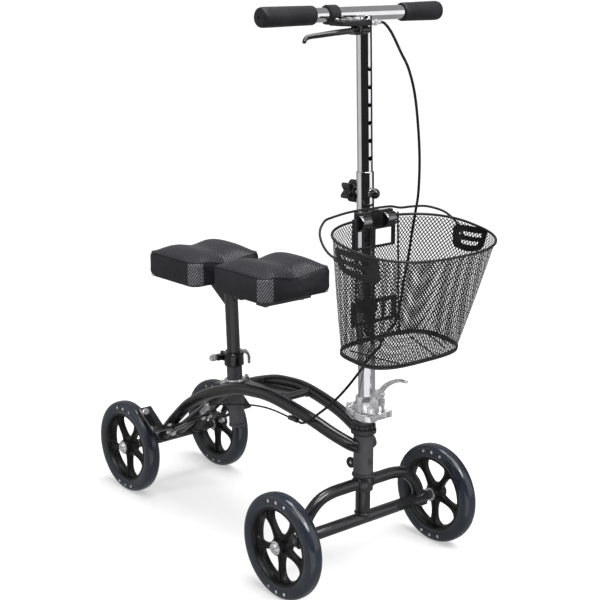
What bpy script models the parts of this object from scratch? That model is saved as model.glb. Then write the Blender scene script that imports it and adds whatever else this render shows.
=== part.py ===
"""Knee scooter: a steerable four-wheeled knee walker with two knee pads, a folding
steering column, a T handlebar with one brake lever, and a wire mesh basket.

Everything is drawn in metres. X runs forward, Y to the rider's left and Z up. Drawing
positions count X from the rear axle, and the empty "scooter" moves the whole object so
that its origin is the bottom centre of its outer box.
"""
import math

import bmesh
import bpy
from mathutils import Matrix, Vector

# Driving dimensions.
WHEEL_RADIUS = 0.100
WHEEL_WIDTH = 0.030
WHEELBASE = 0.619
FRONT_TRACK = 0.397
REAR_TRACK = 0.240
BAR_HEIGHT = 1.043
BAR_RIGHT_END = -0.235
BAR_LEFT_END = 0.184
PAD_HEIGHT = 0.493
PAD_LENGTH = 0.158
PAD_HALF_WIDTH = 0.085

# Shared sizes.
GAP = 0.0004
AXLE_HEIGHT = WHEEL_RADIUS
WHEEL_SIDES = 28
TUBE_SIDES = 16
SMALL_SIDES = 10
FRAME_TUBE_RADIUS = 0.0125
HEAD_X = WHEELBASE
HEAD_RADIUS = 0.019
HEAD_BOTTOM = 0.1926
HEAD_TOP = 0.2705
STEERER_RADIUS = 0.0142
OUTER_STEM_RADIUS = 0.016
INNER_STEM_RADIUS = 0.014
SLEEVE_RADIUS = 0.016
POST_RADIUS = 0.0138

# Placement of the drawing in the object's own frame.
FRONT_END = 0.85447
REAR_END = -0.1000
ORIGIN = Vector(((FRONT_END + REAR_END) / 2, (BAR_RIGHT_END + 0.2215) / 2, 0))

# Slanted axes, each a point and a unit direction.
STEM_BASE = Vector((0.627, 0, 0.340))
STEM_DIRECTION = Vector((-0.0284, 0, 1)).normalized()
POST_BASE = Vector((0.2306, 0, 0.150))
POST_DIRECTION = Vector((-0.0526, 0, 1)).normalized()
FOLD_PIVOT = Vector((0.592, 0, 0.317))
LOCK_PIVOT = Vector((0.660, 0, 0.358))
LEVER_PIVOT = Vector((0.639, -0.045, 1.0175))
SEAT_LEVER_PIVOT = Vector((0.1935, 0.0365, 0.327))
BAIL_PIVOT = Vector((0.714, 0, 0.645))
BRAKE_ANGLE = math.radians(42)
RADIAL = Vector((math.cos(BRAKE_ANGLE), 0, math.sin(BRAKE_ANGLE)))
BRAKE_AXIS = Vector((-math.sin(BRAKE_ANGLE), 0, math.cos(BRAKE_ANGLE)))
BRAKE_PLANE = -0.026
SHOE_ANGLE = math.radians(55)
SHOE_RADIAL = Vector((math.cos(SHOE_ANGLE), 0, math.sin(SHOE_ANGLE)))
SHOE_TANGENT = Vector((-math.sin(SHOE_ANGLE), 0, math.cos(SHOE_ANGLE)))
ACROSS = Vector((0, 1, 0))
UP = Vector((0, 0, 1))

PAINTED = {}
BODIES = {}


def material(name, colour, roughness, metallic):
    """A Principled material, made once and kept by name."""
    made = bpy.data.materials.new(name)
    made.use_nodes = True
    shader = made.node_tree.nodes["Principled BSDF"]
    shader.inputs["Base Color"].default_value = (*colour, 1)
    shader.inputs["Roughness"].default_value = roughness
    shader.inputs["Metallic"].default_value = metallic
    made.diffuse_color = (*colour, 1)
    PAINTED[name] = made


def body(name, pivot, parent=None):
    """An empty on a joint's axis, which carries one rigid group of pieces."""
    empty = bpy.data.objects.new(name + "_axis", None)
    empty.empty_display_size = 0.02
    bpy.context.scene.collection.objects.link(empty)
    offset = BODIES[parent][1] if parent else Vector((0, 0, 0))
    empty.location = Vector(pivot) - offset
    if parent:
        empty.parent = BODIES[parent][0]
    BODIES[name] = (empty, Vector(pivot))


def add(name, shape, group, finish):
    """Turn a bmesh drawn in scooter coordinates into a named piece of one body."""
    bmesh.ops.recalc_face_normals(shape, faces=shape.faces)
    mesh = bpy.data.meshes.new(name)
    shape.to_mesh(mesh)
    shape.free()
    empty, pivot = BODIES[group]
    mesh.transform(Matrix.Translation(-pivot))
    mesh.materials.append(PAINTED[finish])
    mesh.shade_smooth()
    mesh.set_sharp_from_angle(angle=math.radians(35))
    piece = bpy.data.objects.new(name, mesh)
    bpy.context.scene.collection.objects.link(piece)
    piece.parent = empty
    return piece


def combined(shape, others, operation):
    """The boolean result of one bmesh with each of the others, as a new bmesh."""
    objects = []
    for source in [shape] + others:
        bmesh.ops.recalc_face_normals(source, faces=source.faces)
        mesh = bpy.data.meshes.new("part")
        source.to_mesh(mesh)
        source.free()
        holder = bpy.data.objects.new("part", mesh)
        bpy.context.scene.collection.objects.link(holder)
        objects.append(holder)
    for other in objects[1:]:
        step = objects[0].modifiers.new("step", "BOOLEAN")
        step.operation = operation
        step.solver = "EXACT"
        step.object = other
    graph = bpy.context.evaluated_depsgraph_get()
    result = bpy.data.meshes.new_from_object(objects[0].evaluated_get(graph))
    made = bmesh.new()
    made.from_mesh(result)
    bmesh.ops.remove_doubles(made, verts=made.verts, dist=1e-6)
    bmesh.ops.dissolve_limit(made, angle_limit=math.radians(0.2), verts=made.verts, edges=made.edges)
    bmesh.ops.triangulate(made, faces=[face for face in made.faces if len(face.verts) > 4])
    for holder in objects:
        bpy.data.objects.remove(holder)
    return made


def cut(shape, *cutters):
    return combined(shape, list(cutters), "DIFFERENCE")


def join(shape, *others):
    return combined(shape, list(others), "UNION")


def cross_axes(direction):
    """Two unit vectors square to a direction and to each other."""
    direction = Vector(direction).normalized()
    helper = ACROSS if abs(direction.y) < 0.9 else Vector((1, 0, 0))
    first = direction.cross(helper).normalized()
    return first, direction.cross(first)


def lathe(profile, base, direction, sides, closed=False):
    """Turn (radius, height) points about an axis; a closed profile makes a ring."""
    direction = Vector(direction).normalized()
    first, second = cross_axes(direction)
    shape = bmesh.new()
    rings = []
    for radius, height in profile:
        centre = Vector(base) + direction * height
        if radius == 0:
            rings.append([shape.verts.new(centre)] * sides)
            continue
        ring = []
        for i in range(sides):
            angle = 2 * math.pi * (i + 0.5) / sides
            spoke = math.cos(angle) * first + math.sin(angle) * second
            ring.append(shape.verts.new(centre + radius * spoke))
        rings.append(ring)
    pairs = list(zip(rings, rings[1:]))
    if closed:
        pairs.append((rings[-1], rings[0]))
    for low, high in pairs:
        for i in range(sides):
            j = (i + 1) % sides
            corners = list(dict.fromkeys((low[i], low[j], high[j], high[i])))
            shape.faces.new(corners)
    if not closed:
        for ring in (rings[0], rings[-1]):
            if ring[0] is not ring[1]:
                shape.faces.new(ring)
    return shape


def cylinder(start, end, radius, sides=TUBE_SIDES):
    """A solid round bar between two points."""
    start, end = Vector(start), Vector(end)
    return lathe([(radius, 0), (radius, (end - start).length)], start, end - start, sides)


def pipe(start, end, outer, inner, sides=TUBE_SIDES):
    """A straight hollow tube between two points, open at both ends."""
    start, end = Vector(start), Vector(end)
    length = (end - start).length
    profile = [(outer, 0), (outer, length), (inner, length), (inner, 0)]
    return lathe(profile, start, end - start, sides, closed=True)


def sweep(points, radius, sides=12):
    """A round bar that follows a list of points."""
    points = [Vector(point) for point in points]
    shape = bmesh.new()
    rings = []
    side = None
    for i, point in enumerate(points):
        before = points[max(i - 1, 0)]
        after = points[min(i + 1, len(points) - 1)]
        tangent = (after - before).normalized()
        if side is None:
            side = cross_axes(tangent)[0]
        side = (side - tangent * side.dot(tangent)).normalized()
        other = tangent.cross(side)
        ring = []
        for k in range(sides):
            angle = 2 * math.pi * k / sides
            spoke = math.cos(angle) * side + math.sin(angle) * other
            ring.append(shape.verts.new(point + radius * spoke))
        rings.append(ring)
    for low, high in zip(rings, rings[1:]):
        for k in range(sides):
            m = (k + 1) % sides
            shape.faces.new((low[k], low[m], high[m], high[k]))
    shape.faces.new(rings[0])
    shape.faces.new(rings[-1])
    return shape


def smooth_path(knots, per_span):
    """Points on a Catmull-Rom curve through the knots."""
    knots = [Vector(knot) for knot in knots]
    extended = [2 * knots[0] - knots[1]] + knots + [2 * knots[-1] - knots[-2]]
    path = []
    for a, b, c, d in zip(extended, extended[1:], extended[2:], extended[3:]):
        for i in range(per_span):
            t = i / per_span
            linear = (c - a) * t
            square = (2 * a - 5 * b + 4 * c - d) * t * t
            cubic = (3 * b - a - 3 * c + d) * t * t * t
            path.append(b + (linear + square + cubic) / 2)
    return path + [knots[-1]]


def prism(outline, thickness, base, along, upward):
    """Extrude a flat outline, centred on its plane; the outline's axes are along and upward."""
    along, upward = Vector(along), Vector(upward)
    normal = along.cross(upward).normalized()
    shape = bmesh.new()
    layers = []
    for side in (-0.5, 0.5):
        corner = Vector(base) + normal * thickness * side
        layers.append([shape.verts.new(corner + along * u + upward * v) for u, v in outline])
    shape.faces.new(layers[0])
    shape.faces.new(layers[1])
    count = len(outline)
    for i in range(count):
        j = (i + 1) % count
        shape.faces.new((layers[0][i], layers[0][j], layers[1][j], layers[1][i]))
    return shape


def block(low, high):
    """An upright box between two corners."""
    low, high = Vector(low), Vector(high)
    outline = [(low.x, low.y), (high.x, low.y), (high.x, high.y), (low.x, high.y)]
    middle = (low.z + high.z) / 2
    return prism(outline, high.z - low.z, (0, 0, middle), (1, 0, 0), (0, 1, 0))


def stem_point(distance):
    return STEM_BASE + STEM_DIRECTION * distance


def post_point(height):
    return POST_BASE + POST_DIRECTION * ((height - POST_BASE.z) / POST_DIRECTION.z)


def brake_point(radius, across):
    """A point of the brake arms' common plane, by distance from the rear axle and Y."""
    return Vector((0, across, AXLE_HEIGHT)) + RADIAL * radius + BRAKE_AXIS * BRAKE_PLANE


def arch_path(side):
    """Centre line of one side tube, from the rear axle up over its crown to the head tube."""
    knots = [
        (0.0165, 0.045, 0.1075), (0.044, 0.045, 0.140), (0.080, 0.045, 0.175), (0.124, 0.045, 0.212),
        (0.195, 0.045, 0.252), (0.288, 0.0445, 0.285), (0.345, 0.044, 0.2945), (0.397, 0.043, 0.2965),
        (0.457, 0.041, 0.289), (0.516, 0.037, 0.277), (0.565, 0.031, 0.2625), (0.612, 0.024, 0.2535),
    ]
    return smooth_path([(x, side * y, z) for x, y, z in knots], 2)


def wheel(name, centre_x, side, half_track, axle_group):
    """One wheel: poured tyre, five-spoke hub, and the bolt that it turns on."""
    centre = Vector((centre_x, side * half_track, AXLE_HEIGHT))
    outward = ACROSS * side
    body(name, centre, axle_group)
    rim = 1 / math.cos(math.pi / WHEEL_SIDES)
    half = WHEEL_WIDTH / 2
    tread = [
        (0.0752, -0.0135), (0.092, -half), (0.0975, -0.0115), (0.100, -0.006),
        (0.100, 0.006), (0.0975, 0.0115), (0.092, half), (0.0752, 0.0135),
    ]
    tyre = lathe([(r * rim, h) for r, h in tread], centre, outward, WHEEL_SIDES, closed=True)
    add(name + "_tyre", tyre, name, "tyre_urethane")
    section = [
        (0.0062, -0.017), (0.015, -0.017), (0.017, -0.006), (0.066, -0.006), (0.067, -0.0125),
        (0.0746, -0.0125), (0.0746, 0.0125), (0.067, 0.0125), (0.066, 0.006), (0.017, 0.006),
        (0.015, 0.017), (0.0062, 0.017),
    ]
    hub = lathe(section, centre, outward, WHEEL_SIDES, closed=True)
    spokes = 5
    windows = []
    for i in range(spokes):
        middle = 2 * math.pi * i / spokes + math.pi / 2
        outline = []
        corners = ((0.024, -12), (0.040, -25), (0.063, -28), (0.063, 28), (0.040, 25), (0.024, 12))
        for radius, spread in corners:
            angle = middle + math.radians(spread)
            outline.append((radius * math.cos(angle), radius * math.sin(angle)))
        windows.append(prism(outline, 0.05, centre, (1, 0, 0), (0, 0, 1)))
    add(name + "_hub", cut(hub, *windows), name, "hub_plastic")


def axle_bolt(name, centre_x, side, half_track, tube_end, group):
    """Spacer, shank and domed head that hold one wheel on its axle tube."""
    base = Vector((centre_x, 0, AXLE_HEIGHT))
    shoulder = half_track - 0.0175
    head = half_track + 0.0175
    profile = [
        (0, tube_end + GAP), (0.009, tube_end + GAP), (0.009, shoulder), (0.0055, shoulder),
        (0.0055, head), (0.011, head), (0.011, head + 0.003), (0.007, head + 0.0055), (0, head + 0.0055),
    ]
    add(name, lathe(profile, base, ACROSS * side, SMALL_SIDES), group, "zinc_plate")


def main_frame():
    body("frame", (0, 0, 0), "scooter")
    head_low, head_high = Vector((HEAD_X, 0, HEAD_BOTTOM)), Vector((HEAD_X, 0, HEAD_TOP))
    add("head_tube", pipe(head_low, head_high, HEAD_RADIUS, 0.0162, 20), "frame", "frame_paint")
    rear_end = REAR_TRACK / 2 - 0.032
    axle = (Vector((0, -rear_end, AXLE_HEIGHT)), Vector((0, rear_end, AXLE_HEIGHT)))
    add("rear_axle_tube", cylinder(*axle, 0.012), "frame", "frame_paint")
    for label, side in (("left", 1), ("right", -1)):
        axle_cutter = cylinder((0, -0.2, AXLE_HEIGHT), (0, 0.2, AXLE_HEIGHT), 0.012 + GAP)
        head_cutter = cylinder(head_low - UP * 0.05, head_high + UP * 0.05, HEAD_RADIUS + GAP, 20)
        tube = cut(sweep(arch_path(side), FRAME_TUBE_RADIUS), axle_cutter, head_cutter)
        add("arch_tube_" + label, tube, "frame", "frame_paint")
        axle_bolt("rear_axle_bolt_" + label, 0, side, REAR_TRACK / 2, rear_end, "frame")

    sleeve_low, sleeve_high = post_point(0.181), post_point(0.3115)
    sleeve = pipe(sleeve_low, sleeve_high, SLEEVE_RADIUS, POST_RADIUS + GAP)
    add("seat_sleeve", sleeve, "frame", "frame_paint")
    sleeve_cutter = cylinder(post_point(0.12), post_point(0.4), SLEEVE_RADIUS + GAP)
    axle_cutter = cylinder((0, -0.2, AXLE_HEIGHT), (0, 0.2, AXLE_HEIGHT), 0.012 + GAP)
    brace = cylinder((0.006, 0, 0.1055), (0.212, 0, 0.262), 0.011)
    add("center_brace", cut(brace, axle_cutter, sleeve_cutter), "frame", "frame_paint")

    slope = Vector((0.995, 0, 0.0999)).normalized()
    plate_outline = [(-0.034, -0.0312), (0.182, -0.0295), (0.182, 0.0295), (-0.034, 0.0312)]
    plate = prism(plate_outline, 0.003, (0.2255, 0, 0.2745), slope, ACROSS)
    sleeve_cutter = cylinder(post_point(0.12), post_point(0.4), SLEEVE_RADIUS + GAP)
    add("gusset_plate", cut(plate, sleeve_cutter), "frame", "frame_paint")
    bar = cylinder((0.4175, -0.0290, 0.295), (0.4175, 0.0290, 0.295), 0.008)
    add("cross_bar", bar, "frame", "frame_paint")

    bore = SLEEVE_RADIUS + GAP
    ring = [(bore, 0), (0.0215, 0), (0.0225, 0.003), (0.0215, 0.006), (bore, 0.006)]
    add("seat_ring", lathe(ring, post_point(0.2775), POST_DIRECTION, 20, closed=True), "frame", "zinc_plate")

    collar_low, collar_high = post_point(0.3125), post_point(0.3400)
    collar = pipe(collar_low, collar_high, 0.0205, POST_RADIUS + GAP, 20)
    bore = cylinder(post_point(0.30), post_point(0.40), POST_RADIUS + GAP, 20)
    ears = block((0.1865, -0.009, 0.317), (0.212, 0.009, 0.336))
    skewer = cylinder((0.1935, -0.036, 0.327), (0.1935, 0.030, 0.327), 0.0032, SMALL_SIDES)
    nut = cylinder((0.1935, -0.040, 0.327), (0.1935, -0.031, 0.327), 0.0062, SMALL_SIDES)
    add("seat_clamp_collar", join(cut(join(collar, ears), bore), skewer, nut), "frame", "frame_paint")

    upper_race = [
        (0.0148, 0), (0.0222, 0), (0.0242, 0.002), (0.0242, 0.0105), (0.0205, 0.0130),
        (0.0205, 0.0265), (0.0148, 0.0265),
    ]
    lower_race = [
        (0.0148, 0), (0.0205, 0), (0.0215, 0.002), (0.0215, 0.0045), (0.019, 0.0062), (0.0148, 0.0062),
    ]
    upper, lower = head_high + UP * GAP, head_low - UP * GAP
    add("headset_upper_cup", lathe(upper_race, upper, UP, 20, closed=True), "frame", "black_steel")
    add("headset_lower_cup", lathe(lower_race, lower, -UP, 20, closed=True), "frame", "black_steel")
    bumper = cylinder((0.588, 0, 0.204), (0.588, -0.006, 0.204), 0.010, SMALL_SIDES)
    stub = cylinder((0.590, -0.003, 0.204), (0.5995, -0.003, 0.204), 0.003, SMALL_SIDES)
    add("frame_bumper", join(bumper, stub), "frame", "black_plastic")
    stop = pipe((0.452, -0.0425, 0.2675), (0.478, -0.0435, 0.2675), 0.0048, 0.0030, SMALL_SIDES)
    add("cable_stop", stop, "frame", "black_steel")


def rear_brake():
    """Two bell cranks that press a shoe on each rear tyre when their inner ends are pulled."""
    for label, side in (("left", 1), ("right", -1)):
        pivot = brake_point(0.094, side * 0.066)
        group = "brake_arm_" + label
        body(group, pivot, "frame")
        tab = prism([(-0.009, 0), (0.009, 0), (0.009, 0.034), (-0.009, 0.034)], 0.0075,
                    brake_point(0.094, side * 0.040) + BRAKE_AXIS * 0.0092, RADIAL, ACROSS * side)
        bolt = cylinder(pivot - BRAKE_AXIS * 0.0060, pivot + BRAKE_AXIS * 0.0180, 0.0035, SMALL_SIDES)
        nut = cylinder(pivot - BRAKE_AXIS * 0.0070, pivot - BRAKE_AXIS * 0.0026, 0.0065, SMALL_SIDES)
        add("brake_pivot_" + label, join(tab, bolt, nut), "frame", "zinc_plate")

        outline = [
            (0.131, 0.003), (0.143, 0.003), (0.145, 0.014), (0.106, 0.068), (0.1240, 0.104),
            (0.1260, 0.1300), (0.1170, 0.1300), (0.1150, 0.107), (0.103, 0.080), (0.088, 0.072),
            (0.086, 0.060), (0.098, 0.056),
        ]
        plane = Vector((0, 0, AXLE_HEIGHT)) + BRAKE_AXIS * BRAKE_PLANE
        arm = prism(outline, 0.004, plane, RADIAL, ACROSS * side)
        hole = cylinder(pivot - BRAKE_AXIS * 0.02, pivot + BRAKE_AXIS * 0.02, 0.0039, SMALL_SIDES)
        flange_outline = [(-0.0540, 0.108), (0.0120, 0.108), (0.0120, 0.1315), (-0.0540, 0.1315)]
        flange_base = Vector((0, 0, AXLE_HEIGHT)) + SHOE_RADIAL * 0.1145
        flange = prism(flange_outline, 0.004, flange_base, SHOE_TANGENT, ACROSS * side)
        stud_base = flange_base + ACROSS * side * 0.120 + SHOE_RADIAL * 0.001
        stud = cylinder(stud_base, stud_base + SHOE_RADIAL * 0.0095, 0.0055, SMALL_SIDES)
        add("brake_arm_" + label, cut(join(arm, flange, stud), hole), group, "black_steel")

        shoe = []
        for radius, turns in ((0.1027, (-1, 0, 1)), (0.1122, (1, 0, -1))):
            for turn in turns:
                angle = turn * math.radians(8)
                shoe.append((radius * math.sin(angle), radius * math.cos(angle) - 0.0004 * abs(turn)))
        pad = prism(shoe, 0.020, (0, side * 0.120, AXLE_HEIGHT), SHOE_TANGENT, SHOE_RADIAL)
        add("brake_shoe_" + label, pad, group, "black_rubber")

    start = brake_point(0.156, -0.0195) + BRAKE_AXIS * 0.004
    spring = pipe(start, start + RADIAL * 0.036, 0.0055, 0.0028, SMALL_SIDES)
    add("brake_spring", spring, "frame", "zinc_plate")


def steering_group():
    body("steering", (HEAD_X, 0, 0), "scooter")
    half_tube = FRONT_TRACK / 2 - 0.030
    ends = (Vector((HEAD_X, -half_tube, AXLE_HEIGHT)), Vector((HEAD_X, half_tube, AXLE_HEIGHT)))
    add("front_axle_tube", cylinder(*ends, 0.012), "steering", "frame_paint")
    steerer = cylinder((HEAD_X, 0, 0.105), (HEAD_X, 0, 0.2980), STEERER_RADIUS)
    axle_cutter = cylinder(*ends, 0.012 + GAP)
    add("steerer_tube", cut(steerer, axle_cutter), "steering", "frame_paint")
    knots = [
        (0.151, 0.108), (0.143, 0.128), (0.130, 0.148), (0.108, 0.1645), (0.080, 0.1715), (0.045, 0.1725),
        (0.015, 0.1725),
    ]
    half = smooth_path([(HEAD_X, y, z) for y, z in knots], 2)
    mirrored = [Vector((p.x, -p.y, p.z)) for p in half]
    arch = sweep(half + mirrored[::-1], FRAME_TUBE_RADIUS - 0.001)
    steerer_cutter = cylinder((HEAD_X, 0, 0.05), (HEAD_X, 0, 0.3), STEERER_RADIUS + GAP)
    collar = pipe((HEAD_X, 0, 0.158), (HEAD_X, 0, 0.1852), 0.019, 0.0100)
    axle_cutter = cylinder(*ends, 0.012 + GAP)
    add("front_arch", cut(join(arch, collar), axle_cutter, steerer_cutter), "steering", "frame_paint")
    for label, side in (("left", 1), ("right", -1)):
        axle_bolt("front_axle_bolt_" + label, HEAD_X, side, FRONT_TRACK / 2, half_tube, "steering")

    half = [(0.606, 0.0165), (0.629, 0.0185), (0.646, 0.0090)]
    outline = half + [(x, -y) for x, y in reversed(half)]
    solid = prism(outline, 0.0165, (0, 0, 0.30675), (1, 0, 0), ACROSS)
    nose_outline = [
        (0.640, 0.3030), (0.655, 0.3050), (0.686, 0.3190), (0.686, 0.3330), (0.672, 0.3230),
        (0.657, 0.3148), (0.640, 0.3145),
    ]
    nose = prism(nose_outline, 0.018, (0, 0, 0), (1, 0, 0), UP)
    slot = block((0.662, -0.0045, 0.290), (0.700, 0.0045, 0.345))
    ear_outline = [
        (0.584, 0.3030), (0.612, 0.3030), (0.612, 0.3140), (0.6015, 0.3140), (0.6005, 0.3255),
        (0.584, 0.3255),
    ]
    ears = [prism(ear_outline, 0.005, (0, y, 0), (1, 0, 0), UP) for y in (-0.011, 0.011)]
    pin = cylinder(FOLD_PIVOT - ACROSS * 0.017, FOLD_PIVOT + ACROSS * 0.017, 0.0038, SMALL_SIDES)
    base = join(solid, cut(nose, slot), *ears, pin)
    add("stem_clamp_base", base, "steering", "cast_aluminium")


def stem_group():
    body("stem", FOLD_PIVOT, "steering")
    socket = cylinder(stem_point(-0.0225), stem_point(0.0070), 0.0212, 20)
    half = [(0.6065, 0.0165), (0.633, 0.0175), (0.652, 0.0100)]
    outline = half + [(x, -y) for x, y in reversed(half)]
    skirt = prism(outline, 0.0170, (0, 0, 0.3245), (1, 0, 0), ACROSS)
    eye = cylinder(FOLD_PIVOT - ACROSS * 0.0078, FOLD_PIVOT + ACROSS * 0.0078, 0.0085, SMALL_SIDES)
    web = block((0.5945, -0.0078, 0.3165), (0.610, 0.0078, 0.3245))
    left_lug = block((0.6440, 0.0065, 0.3300), (0.6660, 0.0105, 0.3640))
    right_lug = block((0.6440, -0.0105, 0.3300), (0.6660, -0.0065, 0.3640))
    pin_hole = cylinder(FOLD_PIVOT - ACROSS * 0.02, FOLD_PIVOT + ACROSS * 0.02, 0.0043, SMALL_SIDES)
    bore = cylinder(stem_point(-0.0080), stem_point(0.06), OUTER_STEM_RADIUS + GAP)
    solid = join(socket, skirt, eye, web, left_lug, right_lug)
    add("stem_knuckle", cut(solid, pin_hole, bore), "stem", "cast_aluminium")

    tube = pipe(stem_point(-0.0076), stem_point(0.4260), OUTER_STEM_RADIUS, INNER_STEM_RADIUS + GAP)
    add("stem_outer_tube", tube, "stem", "chrome_plate")

    body("stem_lock_lever", LOCK_PIVOT, "stem")
    barrel = cylinder(LOCK_PIVOT - ACROSS * 0.0060, LOCK_PIVOT + ACROSS * 0.0060, 0.0062, SMALL_SIDES)
    offsets = (
        (0.001, 0, 0.002), (0.016, 0, 0.019), (0.034, 0, 0.031), (0.054, 0, 0.0385), (0.072, 0, 0.0395),
    )
    blade = sweep(smooth_path([LOCK_PIVOT + Vector(offset) for offset in offsets], 2), 0.0036, 8)
    draw_bolt = cylinder(LOCK_PIVOT, LOCK_PIVOT + Vector((0.0135, 0, -0.0340)), 0.0034, SMALL_SIDES)
    add("stem_lock_lever", join(barrel, blade, draw_bolt), "stem_lock_lever", "zinc_plate")

    screw_height = stem_point(0.387)
    body("star_knob", screw_height, "stem")
    rear = Vector((-1, 0, -0.0284)).normalized()
    lobes = []
    lobe_count = 5
    for i in range(4 * lobe_count):
        angle = 2 * math.pi * i / (4 * lobe_count)
        radius = 0.0172 + 0.0044 * math.cos(lobe_count * angle)
        lobes.append((radius * math.cos(angle), radius * math.sin(angle)))
    knob = prism(lobes, 0.018, screw_height + rear * 0.040, ACROSS, STEM_DIRECTION)
    stud = cylinder(screw_height + rear * 0.0165, screw_height + rear * 0.038, 0.0045, SMALL_SIDES)
    add("star_knob", join(knob, stud), "star_knob", "black_plastic")

    pin_height = stem_point(0.388)
    body("pull_pin", pin_height, "stem")
    ball_profile = [
        (0, 0.0166), (0.0042, 0.0166), (0.0042, 0.0174), (0.0078, 0.0190), (0.0095, 0.0245),
        (0.0078, 0.0305), (0.0040, 0.0338), (0, 0.0342),
    ]
    add("pull_pin", lathe(ball_profile, pin_height, -rear, 12), "pull_pin", "black_plastic")


def rounded_rectangle(centre_x, half_length, half_width, power, count):
    """Points (x, y) of a superellipse."""
    points = []
    for i in range(count):
        angle = 2 * math.pi * (i + 0.5) / count
        c, s = math.cos(angle), math.sin(angle)
        x = math.copysign(abs(c) ** (2 / power), c) * half_length
        y = math.copysign(abs(s) ** (2 / power), s) * half_width
        points.append((centre_x + x, y))
    return points


def basket_ring(level, inset):
    """One horizontal outline of the basket; level runs from 0 at the bottom to 1 at the rim."""
    centre_x = 0.720 + level * 0.029
    half_length = 0.068 + level * 0.038 - inset
    half_width = 0.120 + level * 0.036 - inset
    height = 0.456 + level * 0.211
    tilt = 0.10 + level * 0.07
    ring = []
    for x, y in rounded_rectangle(centre_x, half_length, half_width, 2.5, 28):
        ring.append(Vector((x, y, height - tilt * (x - centre_x))))
    return ring


def basket_group():
    wall = 0.002
    floor = 0.02
    rings = [basket_ring(0, 0), basket_ring(1, 0), basket_ring(1, wall), basket_ring(floor, wall)]
    shape = bmesh.new()
    layers = [[shape.verts.new(p) for p in ring] for ring in rings]
    count = len(layers[0])
    for low, high in zip(layers, layers[1:]):
        for i in range(count):
            j = (i + 1) % count
            shape.faces.new((low[i], low[j], high[j], high[i]))
    shape.faces.new(layers[0])
    shape.faces.new(layers[-1])
    add("basket_shell", shape, "stem", "black_mesh")

    top = stem_point(0.325)
    reach = STEM_DIRECTION * 0.018
    yoke = pipe(top - reach, top + reach, 0.0205, OUTER_STEM_RADIUS + GAP, 20)
    plate = block((0.6365, -0.055, 0.618), (0.6425, 0.055, 0.678))
    window = block((0.60, 0.006, 0.628), (0.66, 0.046, 0.668))
    clear = cylinder(stem_point(0.2), stem_point(0.5), OUTER_STEM_RADIUS + GAP, 20)
    hooks = [block((0.6365, y - 0.009, 0.676), (0.6425, y + 0.009, 0.690)) for y in (-0.034, 0.030)]
    bracket = cut(join(yoke, plate, *hooks), window, clear)
    add("basket_bracket", bracket, "stem", "black_plastic")

    low = stem_point(0.180)
    reach = STEM_DIRECTION * 0.015
    yoke = pipe(low - reach, low + reach, 0.0205, OUTER_STEM_RADIUS + GAP, 20)
    plate = block((0.6400, -0.056, 0.494), (0.6465, 0.056, 0.546))
    windows = [block((0.60, y - 0.014, 0.504), (0.66, y + 0.014, 0.536)) for y in (-0.036, 0.036)]
    clear = cylinder(stem_point(0.1), stem_point(0.3), OUTER_STEM_RADIUS + GAP, 20)
    add("basket_spacer", cut(join(yoke, plate), *windows, clear), "stem", "black_plastic")

    body("basket_bail", BAIL_PIVOT, "stem")
    right = [
        (0.714, -0.1535, 0.645), (0.700, -0.1575, 0.6520), (0.683, -0.1570, 0.6660), (0.671, -0.152, 0.6845),
        (0.657, -0.130, 0.6975),
    ]
    middle = [
        (0.650, -0.110, 0.7000), (0.649, -0.078, 0.7035), (0.648, -0.050, 0.7045), (0.648, -0.015, 0.704),
        (0.648, 0.030, 0.7030), (0.650, 0.056, 0.6980), (0.650, 0.087, 0.6965), (0.653, 0.122, 0.6930),
    ]
    left = [
        (0.668, 0.1510, 0.6820), (0.690, 0.1575, 0.6670), (0.706, 0.1560, 0.6530), (0.714, 0.1535, 0.645),
    ]
    wire = sweep(smooth_path(right + middle + left, 2), 0.0019, 6)
    add("basket_bail", wire, "basket_bail", "black_steel")


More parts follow.
